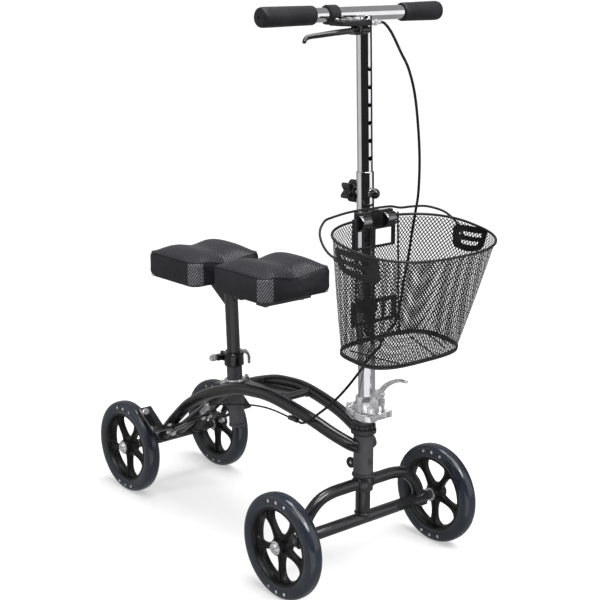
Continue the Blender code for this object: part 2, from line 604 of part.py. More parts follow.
def handlebar_group():
    body("handlebar", stem_point(0.7033), "stem")
    bar_centre = Vector((stem_point(0.7033).x, 0, BAR_HEIGHT))
    inner = pipe(stem_point(0.255), stem_point(0.7028), INNER_STEM_RADIUS, 0.0124)
    bar_cutter = cylinder(bar_centre - ACROSS * 0.05, bar_centre + ACROSS * 0.05, FRAME_TUBE_RADIUS + GAP)
    holes = []
    hole_count, first_hole, hole_pitch = 6, 0.4502, 0.0316
    for i in range(hole_count):
        start = stem_point(first_hole + i * hole_pitch)
        holes.append(cylinder(start, start + Vector((0.02, 0, 0)), 0.0042, 8))
    add("stem_inner_tube", cut(inner, bar_cutter, *holes), "handlebar", "chrome_plate")
    wall = 0.0035
    right_end, left_end = BAR_RIGHT_END + wall, BAR_LEFT_END - wall
    bar = pipe(bar_centre + ACROSS * right_end, bar_centre + ACROSS * left_end, FRAME_TUBE_RADIUS, 0.0108)
    add("handlebar_bar", bar, "handlebar", "chrome_plate")
    bore = FRAME_TUBE_RADIUS + GAP
    grips = (("right", -BAR_RIGHT_END, 0.116, -1), ("left", BAR_LEFT_END, 0.094, 1))
    for label, outer_end, length, side in grips:
        floor = outer_end - wall + GAP
        profile = [
            (0, floor), (bore, floor), (bore, outer_end - length), (0.0165, outer_end - length),
            (0.0172, outer_end - 0.008), (0.0140, outer_end), (0, outer_end),
        ]
        shape = lathe(profile, bar_centre, ACROSS * side, TUBE_SIDES)
        add("grip_" + label, shape, "handlebar", "black_foam")

    ring = pipe(bar_centre - ACROSS * 0.089, bar_centre - ACROSS * 0.066, 0.0168, bore)
    arm = block((0.600, -0.088, 1.0250), (0.649, -0.062, 1.0330))
    head = block((0.628, -0.064, 1.0250), (0.649, -0.012, 1.0330))
    barrel = cylinder((0.637, -0.013, 1.029), (0.637, 0.008, 1.029), 0.0040, SMALL_SIDES)
    bore_cutter = cylinder(bar_centre - ACROSS * 0.2, bar_centre, bore)
    pivot_pin = cylinder(LEVER_PIVOT - UP * 0.0065, LEVER_PIVOT + UP * 0.0090, 0.0030, SMALL_SIDES)
    housing = join(cut(join(ring, arm, head), bore_cutter), barrel, pivot_pin)
    add("lever_housing", housing, "handlebar", "black_plastic")

    body("brake_lever", LEVER_PIVOT, "handlebar")
    boss = cylinder(LEVER_PIVOT - UP * 0.0055, LEVER_PIVOT + UP * 0.0062, 0.0105, 12)
    knots = [
        (0.640, -0.040, 1.0170), (0.647, -0.066, 1.0170), (0.648, -0.095, 1.0157),
        (0.643, -0.130, 1.0125), (0.637, -0.153, 1.0095), (0.637, -0.162, 1.003),
    ]
    blade = sweep(smooth_path(knots, 2), 0.0048, 8)
    pin_hole = cylinder(LEVER_PIVOT - UP * 0.02, LEVER_PIVOT + UP * 0.02, 0.0034, SMALL_SIDES)
    add("brake_lever", cut(join(boss, blade), pin_hole), "brake_lever", "black_steel")


def seat_group():
    body("seat", post_point(0.40), "frame")
    post = pipe(post_point(0.300), post_point(0.4785), POST_RADIUS, 0.0118)
    add("seat_post", post, "seat", "frame_paint")
    rail = block((0.085, -0.018, 0.4802), (0.396, 0.018, 0.4865))
    bars = [block((x, -0.057, 0.4802), (x + 0.026, 0.057, PAD_HEIGHT - GAP)) for x in (0.372, 0.096)]
    web_outline = [(0.135, 0.4815), (0.1985, 0.4815), (0.1985, 0.4380)]
    rear_web = prism(web_outline, 0.012, (0, 0, 0), (1, 0, 0), UP)
    add("seat_carrier", join(rail, *bars, rear_web), "seat", "black_steel")
    crown = [
        (-0.085, 0), (0.085, 0), (0.085, 0.056), (0.078, 0.066), (0.060, 0.076), (0.044, 0.074),
        (0.020, 0.061), (0, 0.057), (-0.020, 0.061), (-0.044, 0.074), (-0.060, 0.076), (-0.078, 0.066),
        (-0.085, 0.056),
    ]
    for name, rear_x in (("front_pad", 0.269), ("rear_pad", 0.044)):
        middle = (rear_x + PAD_LENGTH / 2, 0, PAD_HEIGHT)
        add(name, prism(crown, PAD_LENGTH, middle, ACROSS, UP), "seat", "black_vinyl")

    body("seat_clamp_lever", SEAT_LEVER_PIVOT, "frame")
    cam = cylinder(SEAT_LEVER_PIVOT - UP * 0.006, SEAT_LEVER_PIVOT + UP * 0.006, 0.0058, SMALL_SIDES)
    offsets = ((0.003, 0.001, 0), (0.013, 0.004, 0.004), (0.024, 0.005, -0.002), (0.027, 0.004, -0.020))
    handle = sweep(smooth_path([SEAT_LEVER_PIVOT + Vector(offset) for offset in offsets], 3), 0.0032, 8)
    add("seat_clamp_lever", join(cam, handle), "seat_clamp_lever", "zinc_plate")


def brake_cable():
    """Cable housing from the lever to the stop on the frame, and the bare wire behind it."""
    upper = [
        (0.637, 0.0092, 1.029), (0.6385, 0.020, 1.0265), (0.643, 0.034, 1.009), (0.649, 0.050, 0.977),
        (0.655, 0.066, 0.944), (0.660, 0.079, 0.890), (0.661, 0.090, 0.800), (0.654, 0.097, 0.726),
        (0.6405, 0.103, 0.680),
    ]
    lower = [
        (0.6398, 0.1033, 0.6765), (0.6355, 0.100, 0.640), (0.6345, 0.092, 0.590), (0.6365, 0.079, 0.550),
        (0.6395, 0.068, 0.505), (0.6415, 0.052, 0.477), (0.644, 0.026, 0.460), (0.653, 0.002, 0.443),
        (0.652, -0.016, 0.430), (0.643, -0.036, 0.402), (0.605, -0.036, 0.359), (0.571, -0.038, 0.325),
        (0.548, -0.046, 0.303), (0.527, -0.0535, 0.285), (0.503, -0.0520, 0.2710), (0.4788, -0.0440, 0.2676),
    ]
    wire = [
        (0.4512, -0.0425, 0.2675), (0.383, -0.037, 0.266), (0.310, -0.031, 0.254), (0.225, -0.024, 0.231),
        (0.190, -0.0215, 0.2220), (0.1625, -0.0195, 0.2160),
    ]
    add("brake_cable_upper", sweep(smooth_path(upper, 3), 0.0025, 6), "handlebar", "cable_jacket")
    add("brake_cable_lower", sweep(smooth_path(lower, 3), 0.0025, 6), "stem", "cable_jacket")
    add("brake_wire", sweep(smooth_path(wire, 3), 0.0018, 6), "frame", "cable_jacket")


def build():
    for leftover in list(bpy.data.objects):
        bpy.data.objects.remove(leftover)
    material("frame_paint", (0.012, 0.012, 0.014), 0.35, 0.3)
    material("black_steel", (0.010, 0.010, 0.011), 0.40, 0.4)
    material("black_plastic", (0.014, 0.014, 0.015), 0.50, 0.0)
    material("black_rubber", (0.012, 0.012, 0.012), 0.80, 0.0)
    material("black_foam", (0.018, 0.018, 0.020), 0.75, 0.0)
    material("black_vinyl", (0.016, 0.016, 0.019), 0.45, 0.0)
    material("black_mesh", (0.014, 0.014, 0.016), 0.45, 0.3)
    material("cable_jacket", (0.008, 0.008, 0.008), 0.45, 0.0)
    material("hub_plastic", (0.010, 0.010, 0.011), 0.45, 0.0)
    material("tyre_urethane", (0.050, 0.056, 0.072), 0.30, 0.0)
    material("chrome_plate", (0.80, 0.80, 0.82), 0.08, 1.0)
    material("zinc_plate", (0.65, 0.65, 0.66), 0.25, 1.0)
    material("cast_aluminium", (0.72, 0.72, 0.73), 0.30, 1.0)
    BODIES.clear()
    body("scooter", (0, 0, 0))
    main_frame()
    rear_brake()
    steering_group()
    stem_group()
    basket_group()
    handlebar_group()
    seat_group()
    brake_cable()
    half_rear, half_front = REAR_TRACK / 2, FRONT_TRACK / 2
    for label, side in (("left", 1), ("right", -1)):
        wheel("rear_wheel_" + label, 0, side, half_rear, "frame")
        wheel("front_wheel_" + label, HEAD_X, side, half_front, "steering")
    BODIES["scooter"][0].location = -ORIGIN


build()
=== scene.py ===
"""Looks for the knee scooter: fine meshes, upholstery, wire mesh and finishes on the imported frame.

Shapes are drawn in scooter coordinates, in metres: X forward from the rear axle, Y to the
rider's left and Z up from the floor. piece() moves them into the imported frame.
"""
import math

import bmesh
import bpy
from mathutils import Matrix, Vector


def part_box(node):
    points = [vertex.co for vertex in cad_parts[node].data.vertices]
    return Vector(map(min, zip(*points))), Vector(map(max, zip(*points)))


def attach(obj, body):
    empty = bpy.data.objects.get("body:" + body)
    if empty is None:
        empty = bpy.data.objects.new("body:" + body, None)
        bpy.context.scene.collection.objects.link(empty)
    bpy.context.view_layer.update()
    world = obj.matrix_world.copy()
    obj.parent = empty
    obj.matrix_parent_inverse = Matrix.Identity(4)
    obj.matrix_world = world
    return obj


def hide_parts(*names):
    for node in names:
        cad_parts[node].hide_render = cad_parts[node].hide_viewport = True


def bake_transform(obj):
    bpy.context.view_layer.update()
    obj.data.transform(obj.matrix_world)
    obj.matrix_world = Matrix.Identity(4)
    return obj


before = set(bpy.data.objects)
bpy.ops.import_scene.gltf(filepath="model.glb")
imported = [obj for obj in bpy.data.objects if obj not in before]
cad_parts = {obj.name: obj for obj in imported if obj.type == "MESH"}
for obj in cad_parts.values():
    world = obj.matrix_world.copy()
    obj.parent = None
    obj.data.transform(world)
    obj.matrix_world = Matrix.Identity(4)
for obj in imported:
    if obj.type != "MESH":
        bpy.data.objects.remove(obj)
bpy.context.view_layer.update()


def middle(node):
    """The centre of a CAD node's box."""
    low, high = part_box(node)
    return (Vector(low) + Vector(high)) / 2


REAR_AXLE = middle("rear_axle_tube")
BASE = Vector((REAR_AXLE.x, REAR_AXLE.y, 0))
AXLE_HEIGHT = REAR_AXLE.z
HEAD_X = middle("steerer_tube").x - BASE.x
REAR_HALF_TRACK = middle("rear_wheel_left_tyre").y - BASE.y
FRONT_HALF_TRACK = middle("front_wheel_left_tyre").y - BASE.y
ACROSS = Vector((0, 1, 0))
AHEAD = Vector((1, 0, 0))
UP = Vector((0, 0, 1))
ORIGIN = Vector((0, 0, 0))

STEM_BASE = Vector((0.627, 0, 0.340))
STEM_DIRECTION = Vector((-0.0284, 0, 1)).normalized()
POST_BASE = Vector((0.2306, 0, 0.150))
POST_DIRECTION = Vector((-0.0526, 0, 1)).normalized()
BAR_CENTRE = STEM_BASE + STEM_DIRECTION * 0.7033
FOLD_PIVOT = Vector((0.592, 0, 0.317))
LOCK_PIVOT = Vector((0.660, 0, 0.358))
LEVER_PIVOT = Vector((0.639, -0.045, 1.0175))
SEAT_LEVER_PIVOT = Vector((0.1935, 0.0365, 0.327))
PAD_BOTTOM = 0.493
PAD_HALF_LENGTH = 0.079
PAD_HALF_WIDTH = 0.085
PAD_FULLNESS = 0.0045
PAD_CORNER_RADIUS = 0.0185
FRAME_TUBE_RADIUS = 0.0125
AXLE_RADIUS = 0.012
CABLE_RADIUS = 0.0025
THIN_CABLE_RADIUS = 0.0018
SIDES = (("left", 1), ("right", -1))
BRAKE_ANGLE = math.radians(42)
RADIAL = Vector((math.cos(BRAKE_ANGLE), 0, math.sin(BRAKE_ANGLE)))
BRAKE_AXIS = Vector((-math.sin(BRAKE_ANGLE), 0, math.cos(BRAKE_ANGLE)))
BRAKE_PLANE = -0.026
SHOE_ANGLE = math.radians(55)
SHOE_RADIAL = Vector((math.cos(SHOE_ANGLE), 0, math.sin(SHOE_ANGLE)))
SHOE_TANGENT = Vector((-math.sin(SHOE_ANGLE), 0, math.cos(SHOE_ANGLE)))


# Finishes.

GRAIN_NODES = {"noise": "TexNoise", "cells": "TexVoronoi", "stripes": "TexWave"}


def shader_node(tree, kind, **inputs):
    """A new shader node; each input is set to a value or linked from another node's output."""
    made = tree.nodes.new("ShaderNode" + kind)
    for name, value in inputs.items():
        socket = made.inputs[name.replace("_", " ")]
        if isinstance(value, bpy.types.NodeSocket):
            tree.links.new(value, socket)
        else:
            socket.default_value = value
    return made


def tinge(tree, share, colour, other):
    """Blend a colour output towards another colour."""
    blend = tree.nodes.new("ShaderNodeMix")
    blend.data_type = "RGBA"
    tree.links.new(share, blend.inputs[0])
    tree.links.new(colour, blend.inputs[6])
    blend.inputs[7].default_value = (*other, 1)
    return blend.outputs[2]


def finish(name, dark, light, rough, metallic=0.0, patch=30.0, grain=(), coat=0.0, edge=None, weave_and_sheen=None):
    """A Principled material with patchy colour and roughness; grain lists (kind, scale, depth) bumps.

    edge is the colour of worn edges, and the last argument a (scale, colour) of slanting woven stripes: the
    weave is a real pattern, and its light colour is partly painted sheen.
    """
    made = bpy.data.materials.new(name)
    made.use_nodes = True
    tree = made.node_tree
    shader = tree.nodes["Principled BSDF"]
    for socket, value in (("Metallic", metallic), ("Coat Weight", coat), ("Coat Roughness", 0.08),
                          ("Specular IOR Level", 0.32)):
        shader.inputs[socket].default_value = value
    place = tree.nodes.new("ShaderNodeTexCoord").outputs["Object"]
    clouds = shader_node(tree, "TexNoise", Scale=patch, Detail=5, Vector=place)
    ramp = shader_node(tree, "ValToRGB", Fac=clouds.outputs["Fac"])
    for stop, position, shade in zip(ramp.color_ramp.elements, (0.35, 0.65), (dark, light)):
        stop.position = position
        stop.color = (*shade, 1)
    colour = ramp.outputs["Color"]
    if edge:
        worn = tree.nodes.new("ShaderNodeNewGeometry").outputs["Pointiness"]
        span = shader_node(tree, "MapRange", From_Min=0.53, From_Max=0.60, Value=worn)
        colour = tinge(tree, span.outputs["Result"], colour, edge)
    # Lighter woven stripes: the weave is the vinyl's own pattern, and their light colour is partly painted
    # sheen.
    if weave_and_sheen:
        turned = shader_node(tree, "Mapping", Scale=(1, 1, -1), Vector=place)
        stripes = shader_node(tree, "TexWave", Scale=weave_and_sheen[0], Vector=turned.outputs["Vector"])
        stripes.bands_direction = "DIAGONAL"
        stripes.wave_profile = "SAW"
        share = shader_node(tree, "Math", Value=stripes.outputs["Fac"])
        share.operation = "POWER"
        share.inputs[1].default_value = 3.2
        colour = tinge(tree, share.outputs["Value"], colour, weave_and_sheen[1])
    tree.links.new(colour, shader.inputs["Base Color"])
    smudge = shader_node(tree, "TexNoise", Scale=patch * 2.3, Detail=3, Vector=place)
    shine = shader_node(tree, "MapRange", From_Min=0.3, From_Max=0.7, To_Min=rough[0], To_Max=rough[1],
                        Value=smudge.outputs["Fac"])
    tree.links.new(shine.outputs["Result"], shader.inputs["Roughness"])
    relief = None
    for kind, scale, depth in grain:
        texture = shader_node(tree, GRAIN_NODES[kind], Scale=scale, Vector=place)
        if kind == "stripes":
            texture.bands_direction = "DIAGONAL"
        height = texture.outputs["Distance" if kind == "cells" else "Fac"]
        bump = shader_node(tree, "Bump", Strength=0.8, Distance=depth, Height=height)
        if relief:
            tree.links.new(relief, bump.inputs["Normal"])
        relief = bump.outputs["Normal"]
    if relief:
        tree.links.new(relief, shader.inputs["Normal"])
    return made


PAINT = finish("satin_black_paint", (0.007, 0.007, 0.008), (0.012, 0.012, 0.014), (0.18, 0.28),
               grain=[("noise", 700, 0.00012)], coat=0.55, edge=(0.03, 0.03, 0.033))
MATT_PAINT = finish("matt_grey_black_paint", (0.022, 0.022, 0.024), (0.032, 0.032, 0.035), (0.36, 0.48),
                    grain=[("noise", 900, 0.0002)], edge=(0.08, 0.08, 0.085))
BLACK_STEEL = finish("black_steel", (0.006, 0.006, 0.007), (0.011, 0.011, 0.012), (0.26, 0.40),
                     grain=[("noise", 800, 0.0001)], edge=(0.05, 0.05, 0.055))
GLOSS_BLACK = finish("gloss_black", (0.005, 0.005, 0.006), (0.009, 0.009, 0.010), (0.12, 0.22), coat=0.6)
PLASTIC = finish("black_plastic", (0.009, 0.009, 0.010), (0.015, 0.015, 0.016), (0.36, 0.50),
                 grain=[("noise", 1500, 0.00012)])
RUBBER = finish("black_rubber", (0.010, 0.010, 0.010), (0.017, 0.017, 0.017), (0.70, 0.85),
                grain=[("noise", 1400, 0.0002)])
FOAM = finish("foam_grip", (0.006, 0.006, 0.008), (0.013, 0.013, 0.015), (0.38, 0.54),
              grain=[("cells", 900, 0.0003), ("noise", 400, 0.0002)])
VINYL = finish("smooth_vinyl", (0.006, 0.006, 0.009), (0.011, 0.011, 0.015), (0.34, 0.46),
               grain=[("cells", 650, 0.00016), ("noise", 120, 0.0005)], patch=18)
# The pad tops' woven stripes: a real pattern whose light colour is partly painted sheen.
WEAVE_AND_SHEEN = finish("woven_vinyl_painted_sheen", (0.005, 0.005, 0.007), (0.010, 0.010, 0.013), (0.26, 0.40),
               grain=[("stripes", 100, 0.0007)], patch=180, weave_and_sheen=(100, (0.078, 0.078, 0.088)))
# A brighter copy of the woven finish for one side corner: the weave is real, its much lighter stripes are
# painted sheen.
WOVEN_CORNER_SHEEN = finish("woven_corner_painted_sheen", (0.004, 0.004, 0.006), (0.008, 0.008, 0.010), (0.24, 0.36),
                    grain=[("noise", 700, 0.0002)], patch=180, weave_and_sheen=(84, (0.30, 0.30, 0.32)))
MESH_COAT = finish("coated_mesh", (0.005, 0.005, 0.006), (0.010, 0.010, 0.011), (0.26, 0.40))
JACKET = finish("cable_jacket", (0.004, 0.004, 0.004), (0.008, 0.008, 0.008), (0.25, 0.35))
HUB = finish("hub_nylon", (0.004, 0.004, 0.005), (0.009, 0.009, 0.010), (0.28, 0.42),
             grain=[("noise", 900, 0.00015)])
TYRE = finish("tyre_urethane", (0.010, 0.013, 0.020), (0.020, 0.025, 0.037), (0.16, 0.28), patch=14,
              grain=[("noise", 90, 0.0004)], coat=0.5)
# Light dots on the tyres: moulding marks whose light colour is partly painted glint.
ANCHOR_GLINT = finish("anchor_dots_painted_glint", (0.10, 0.10, 0.11), (0.75, 0.75, 0.76), (0.10, 0.20), patch=220, coat=0.6)
DARK_CHROME = finish("dark_chrome", (0.16, 0.16, 0.17), (0.24, 0.24, 0.25), (0.10, 0.20), metallic=1.0)
CHROME = finish("chrome", (0.74, 0.74, 0.76), (0.84, 0.84, 0.86), (0.035, 0.08), metallic=1.0)
ZINC = finish("zinc_plate", (0.62, 0.62, 0.64), (0.78, 0.78, 0.79), (0.16, 0.32), metallic=0.75, patch=160,
              grain=[("noise", 1200, 0.0001)])
CAST = finish("cast_aluminium", (0.74, 0.74, 0.76), (0.94, 0.94, 0.95), (0.08, 0.17), metallic=0.82, patch=90,
              grain=[("noise", 500, 0.0003)])


# Drawing tools.

def outward(shape):
    """Turn every face to point out of its solid."""
    bmesh.ops.recalc_face_normals(shape, faces=shape.faces)
    return shape


def piece(name, shape, body, finishes, stands_for=(), crease=40):
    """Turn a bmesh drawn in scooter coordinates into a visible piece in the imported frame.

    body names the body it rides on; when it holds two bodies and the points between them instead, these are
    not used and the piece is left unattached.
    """
    mesh = bpy.data.meshes.new(name)
    outward(shape).to_mesh(mesh)
    shape.free()
    mesh.transform(Matrix.Translation(BASE))
    for each in finishes if isinstance(finishes, list) else [finishes]:
        mesh.materials.append(each)
    mesh.shade_smooth()
    if crease:
        mesh.set_sharp_from_angle(angle=math.radians(crease))
    made = bpy.data.objects.new(name, mesh)
    bpy.context.scene.collection.objects.link(made)
    if isinstance(body, str):
        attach(made, body)
    else:
        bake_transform(made)
    if stands_for:
        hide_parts(*stands_for)
    return made


def together(*shapes):
    """One bmesh that holds all the shapes."""
    whole = bmesh.new()
    for shape in shapes:
        mesh = bpy.data.meshes.new("part")
        outward(shape).to_mesh(mesh)
        shape.free()
        whole.from_mesh(mesh)
        bpy.data.meshes.remove(mesh)
    return whole


def cut(shape, cutters):
    """The shape less each of the cutters."""
    holders = []
    for source in [shape] + list(cutters):
        mesh = bpy.data.meshes.new("part")
        outward(source).to_mesh(mesh)
        source.free()
        holder = bpy.data.objects.new("part", mesh)
        bpy.context.scene.collection.objects.link(holder)
        holders.append(holder)
    for cutter in holders[1:]:
        step = holders[0].modifiers.new("step", "BOOLEAN")
        step.operation = "DIFFERENCE"
        step.solver = "EXACT"
        step.object = cutter
    graph = bpy.context.evaluated_depsgraph_get()
    result = bpy.data.meshes.new_from_object(holders[0].evaluated_get(graph))
    made = bmesh.new()
    made.from_mesh(result)
    bmesh.ops.remove_doubles(made, verts=made.verts, dist=1e-6)
    for holder in holders:
        bpy.data.objects.remove(holder)
    return made


def softened(shape, width, segments=2):
    """Round off every edge sharper than 30 degrees."""
    outward(shape)
    sharp = [e for e in shape.edges if len(e.link_faces) == 2 and e.calc_face_angle(0) > math.radians(30)]
    bmesh.ops.bevel(shape, geom=sharp, offset=width, segments=segments, profile=0.5, affect="EDGES",
                    clamp_overlap=True)
    return shape


def cross_axes(direction):
    """Two unit vectors at right angles to a direction and to each other."""
    direction = Vector(direction).normalized()
    helper = ACROSS if abs(direction.y) < 0.9 else AHEAD
    first = direction.cross(helper).normalized()
    return first, direction.cross(first)


def circle(count, first, second, start=0.0):
    """Vectors to evenly spaced points of a circle, or of an ellipse with these half axes."""
    angles = [2 * math.pi * (i + start) / count for i in range(count)]
    return [math.cos(angle) * first + math.sin(angle) * second for angle in angles]


def skin(shape, rings, closed=False):
    """Join rings of vertices with faces, and cap both ends unless the last ring meets the first."""
    sides = len(rings[0])
    for low, high in zip(rings, rings[1:] + (rings[:1] if closed else [])):
        for i in range(sides):
            j = (i + 1) % sides
            shape.faces.new(list(dict.fromkeys((low[i], low[j], high[j], high[i]))))
    if not closed:
        for ring in (rings[0], rings[-1]):
            if ring[0] is not ring[1]:
                shape.faces.new(ring)
    return shape


def mirrored(half):
    """A closed outline from one half of it, the other half mirrored in the first axis."""
    return half + [(x, -y) for x, y in reversed(half)]


def lathe(profile, base, direction, sides=40, closed=False):
    """Turn (radius, height) points about an axis; a closed profile makes a ring."""
    direction = Vector(direction).normalized()
    spokes = circle(sides, *cross_axes(direction), 0.5)
    shape = bmesh.new()
    rings = []
    for radius, height in profile:
        centre = Vector(base) + direction * height
        if radius:
            rings.append([shape.verts.new(centre + radius * spoke) for spoke in spokes])
        else:
            rings.append([shape.verts.new(centre)] * sides)
    return skin(shape, rings, closed)


def rod(start, end, radius, sides=24, edge=0.0):
    """A solid round bar between two points, its ends rounded off by edge."""
    start, end = Vector(start), Vector(end)
    length = (end - start).length
    if edge:
        profile = [(0, 0), (radius - edge, 0), (radius - edge * 0.3, edge * 0.3), (radius, edge)]
        profile += [(radius, length - edge), (radius - edge * 0.3, length - edge * 0.3)]
        profile += [(radius - edge, length), (0, length)]
    else:
        profile = [(radius, 0), (radius, length)]
    return lathe(profile, start, end - start, sides)


def pipe(start, end, outer, inner, sides=40, lip=0.0006):
    """A straight hollow tube with lightly rounded ends."""
    start, end = Vector(start), Vector(end)
    length = (end - start).length
    profile = [(outer - lip, 0), (outer, lip), (outer, length - lip), (outer - lip, length)]
    profile += [(inner, length), (inner, 0)]
    return lathe(profile, start, end - start, sides, closed=True)


def smooth_path(knots, per_span=6, closed=False):
    """Points on a Catmull-Rom curve through the knots."""
    knots = [Vector(knot) for knot in knots]
    if closed:
        extended = [knots[-1]] + knots + knots[:2]
    else:
        extended = [2 * knots[0] - knots[1]] + knots + [2 * knots[-1] - knots[-2]]
    path = []
    for a, b, c, d in zip(extended, extended[1:], extended[2:], extended[3:]):
        for i in range(per_span):
            t = i / per_span
            linear = (c - a) * t
            square = (2 * a - 5 * b + 4 * c - d) * t * t
            cubic = (3 * b - a - 3 * c + d) * t * t * t
            path.append(b + (linear + square + cubic) / 2)
    return path if closed else path + [knots[-1]]


def sweep(points, radius, sides=24, closed=False, flat=None):
    """A bar along points. flat lists (half width, half height) at each point, height along Z."""
    points = [Vector(point) for point in points]
    count = len(points)
    shape = bmesh.new()
    rings = []
    side = None
    for i, point in enumerate(points):
        before = points[(i - 1) % count] if closed else points[max(i - 1, 0)]
        after = points[(i + 1) % count] if closed else points[min(i + 1, count - 1)]
        tangent = (after - before).normalized()
        if side is None:
            side = cross_axes(tangent)[0]
        if flat:
            side = tangent.cross(UP if abs(tangent.z) < 0.95 else AHEAD)
        side = (side - tangent * side.dot(tangent)).normalized()
        wide, high = flat[i] if flat else (radius, radius)
        spokes = circle(sides, wide * side, high * tangent.cross(side))
        rings.append([shape.verts.new(point + spoke) for spoke in spokes])
    return skin(shape, rings, closed)


def tapered(path, sides, size_at, first=None, last=None):
    """A bar whose (half width, half height) follows the share of the way along, with given end sizes."""
    sizes = [size_at(i / (len(path) - 1)) for i in range(len(path))]
    sizes[0] = first or sizes[0]
    sizes[-1] = last or sizes[-1]
    return sweep(path, 0, sides, flat=sizes)


def prism(outline, thickness, base, along, upward):
    """Extrude a flat outline, centred on its plane; the outline's axes are along and upward."""
    along, upward = Vector(along), Vector(upward)
    normal = along.cross(upward).normalized()
    shape = bmesh.new()
    layers = []
    for side in (-0.5, 0.5):
        corner = Vector(base) + normal * thickness * side
        layers.append([shape.verts.new(corner + along * u + upward * v) for u, v in outline])
    shape.faces.new(layers[0])
    shape.faces.new(layers[1])
    count = len(outline)
    for i in range(count):
        j = (i + 1) % count
        shape.faces.new((layers[0][i], layers[0][j], layers[1][j], layers[1][i]))
    return shape


def block(low, high):
    """A box between two opposite corners."""
    low, high = Vector(low), Vector(high)
    outline = [(low.x, low.y), (high.x, low.y), (high.x, high.y), (low.x, high.y)]
    return prism(outline, high.z - low.z, (0, 0, (low.z + high.z) / 2), AHEAD, ACROSS)


def soft_block(low, high, edge, segments=2):
    return softened(block(low, high), edge, segments)


def soft_prism(outline, thickness, base, along, upward, edge, segments=2):
    return softened(prism(outline, thickness, base, along, upward), edge, segments)


def weld(centre, axis, radius, bead=0.0016):
    """A weld bead: a ring with sixteen small ripples."""
    count = 48
    points = []
    for i, spoke in enumerate(circle(count, *cross_axes(axis))):
        ripple = 1 + 0.012 * math.sin(2 * math.pi * 16 * i / count)
        points.append(Vector(centre) + spoke * radius * ripple)
    return sweep(points, bead, 8, closed=True)


def bolt_head(base, direction, radius, height, washer=0.0):
    """A hex head with a chamfered top, on a washer."""
    direction = Vector(direction).normalized()
    chamfer = radius * 0.15
    shape = lathe([(radius, 0), (radius, height - chamfer), (radius - chamfer, height), (0, height)],
                  Vector(base) + direction * washer * 0.15, direction, 6)
    if not washer:
        return shape
    return together(shape, rod(base, Vector(base) + direction * washer * 0.15, washer, 20))


def cap_head(base, direction, radius, height):
    """A round socket-head screw with a dimple."""
    profile = [(radius, 0), (radius, height * 0.8), (radius * 0.85, height), (radius * 0.5, height),
               (radius * 0.42, height * 0.55), (0, height * 0.5)]
    return lathe(profile, base, direction, 20)


def stem_point(distance):
    """A point on the column's axis, by its distance from the foot."""
    return STEM_BASE + STEM_DIRECTION * distance


def post_point(height):
    """A point on the seat post's axis, by its height over the floor."""
    return POST_BASE + POST_DIRECTION * ((height - POST_BASE.z) / POST_DIRECTION.z)


def brake_point(radius, across, along=0.0):
    """A point on a brake arm: out from the rear axle, to the left, and along the arm's pivot."""
    middle_plane = Vector((0, across, AXLE_HEIGHT)) + BRAKE_AXIS * (BRAKE_PLANE + along)
    return middle_plane + RADIAL * radius


def tinted(shape, index):
    """Give every face of a shape one of its piece's finishes, by number."""
    for face in shape.faces:
        face.material_index = index
    return shape


def hex_nut(base, direction, radius, height):
    return bolt_head(base, direction, radius, height, radius * 1.25)


def knurled(base, direction, radius, height, teeth=24):
    """A knurled thumb nut."""
    points = circle(2 * teeth, Vector((radius, 0)), Vector((0, radius)))
    outline = [point * (1 if i % 2 else 0.93) for i, point in enumerate(points)]
    middle_point = Vector(base) + Vector(direction).normalized() * height / 2
    return prism(outline, height, middle_point, *cross_axes(direction))


def helix(start, direction, length, radius, wire, turns):
    """A coil spring."""
    direction = Vector(direction).normalized()
    spokes = circle(16, *cross_axes(direction))
    steps = turns * len(spokes)
    points = [Vector(start) + direction * (length * i / steps) + spokes[i % len(spokes)] * radius
              for i in range(steps + 1)]
    return sweep(points, wire, 8)


# Wheels.

def tyre_shape():
    """A rounded solid tyre about the origin, with six moulding anchor dots on each side; the dots' light
    colour is partly painted glint.
    """
    half = [
        (0.0752, -0.0130), (0.0780, -0.0143), (0.0830, -0.0149), (0.0885, -0.0150), (0.0925, -0.0146),
        (0.0958, -0.0133), (0.0981, -0.0108), (0.0994, -0.0075), (0.1000, -0.0035),
    ]
    shapes = [lathe(mirrored(half), ORIGIN, ACROSS, 112, closed=True)]
    for side in (-1, 1):
        # Dots at the top and bottom of each side only, in the light finish that is partly painted glint.
        for degrees in (75, 90, 105, 255, 270, 285):
            angle = math.radians(degrees)
            spot = Vector((math.cos(angle), 0, math.sin(angle))) * 0.0872 + ACROSS * side * 0.0145
            dot = lathe([(0.0033, 0), (0.0028, 0.0008), (0, 0.0011)], spot, ACROSS * side, 16)
            shapes.append(tinted(dot, 1))
    return together(*shapes)


def hub_shape():
    """A five-spoke moulded hub about the origin: rim, boss and flared spokes with a crest."""
    rim = [(0.0672, 0.0058), (0.0690, 0.0100), (0.0702, 0.0128), (0.0752, 0.0130)]
    boss = [(0.0062, 0.0168), (0.0138, 0.0168), (0.0150, 0.0155), (0.0162, 0.0070), (0.0215, 0.0050)]
    shapes = [
        lathe(mirrored(rim), ORIGIN, ACROSS, 112, closed=True),
        lathe(mirrored(boss), ORIGIN, ACROSS, 64, closed=True),
    ]
    flare = [
        (0.0170, 0.0092), (0.0250, 0.0066), (0.0350, 0.0050), (0.0450, 0.0050), (0.0530, 0.0066),
        (0.0590, 0.0100), (0.0630, 0.0155), (0.0655, 0.0230), (0.0675, 0.0270),
    ]
    crest = [(0.014, 0.0042), (0.030, 0.0018), (0.046, 0.0016), (0.060, 0.0030), (0.070, 0.0044)]
    for along in circle(5, AHEAD, UP, 1.75):
        sideways = along.cross(ACROSS)
        shapes.append(soft_prism(mirrored(flare), 0.0115, ORIGIN, along, sideways, 0.0012))
        shapes.append(soft_prism(mirrored(crest), 0.0165, ORIGIN, along, sideways, 0.0014))
    return together(*shapes)


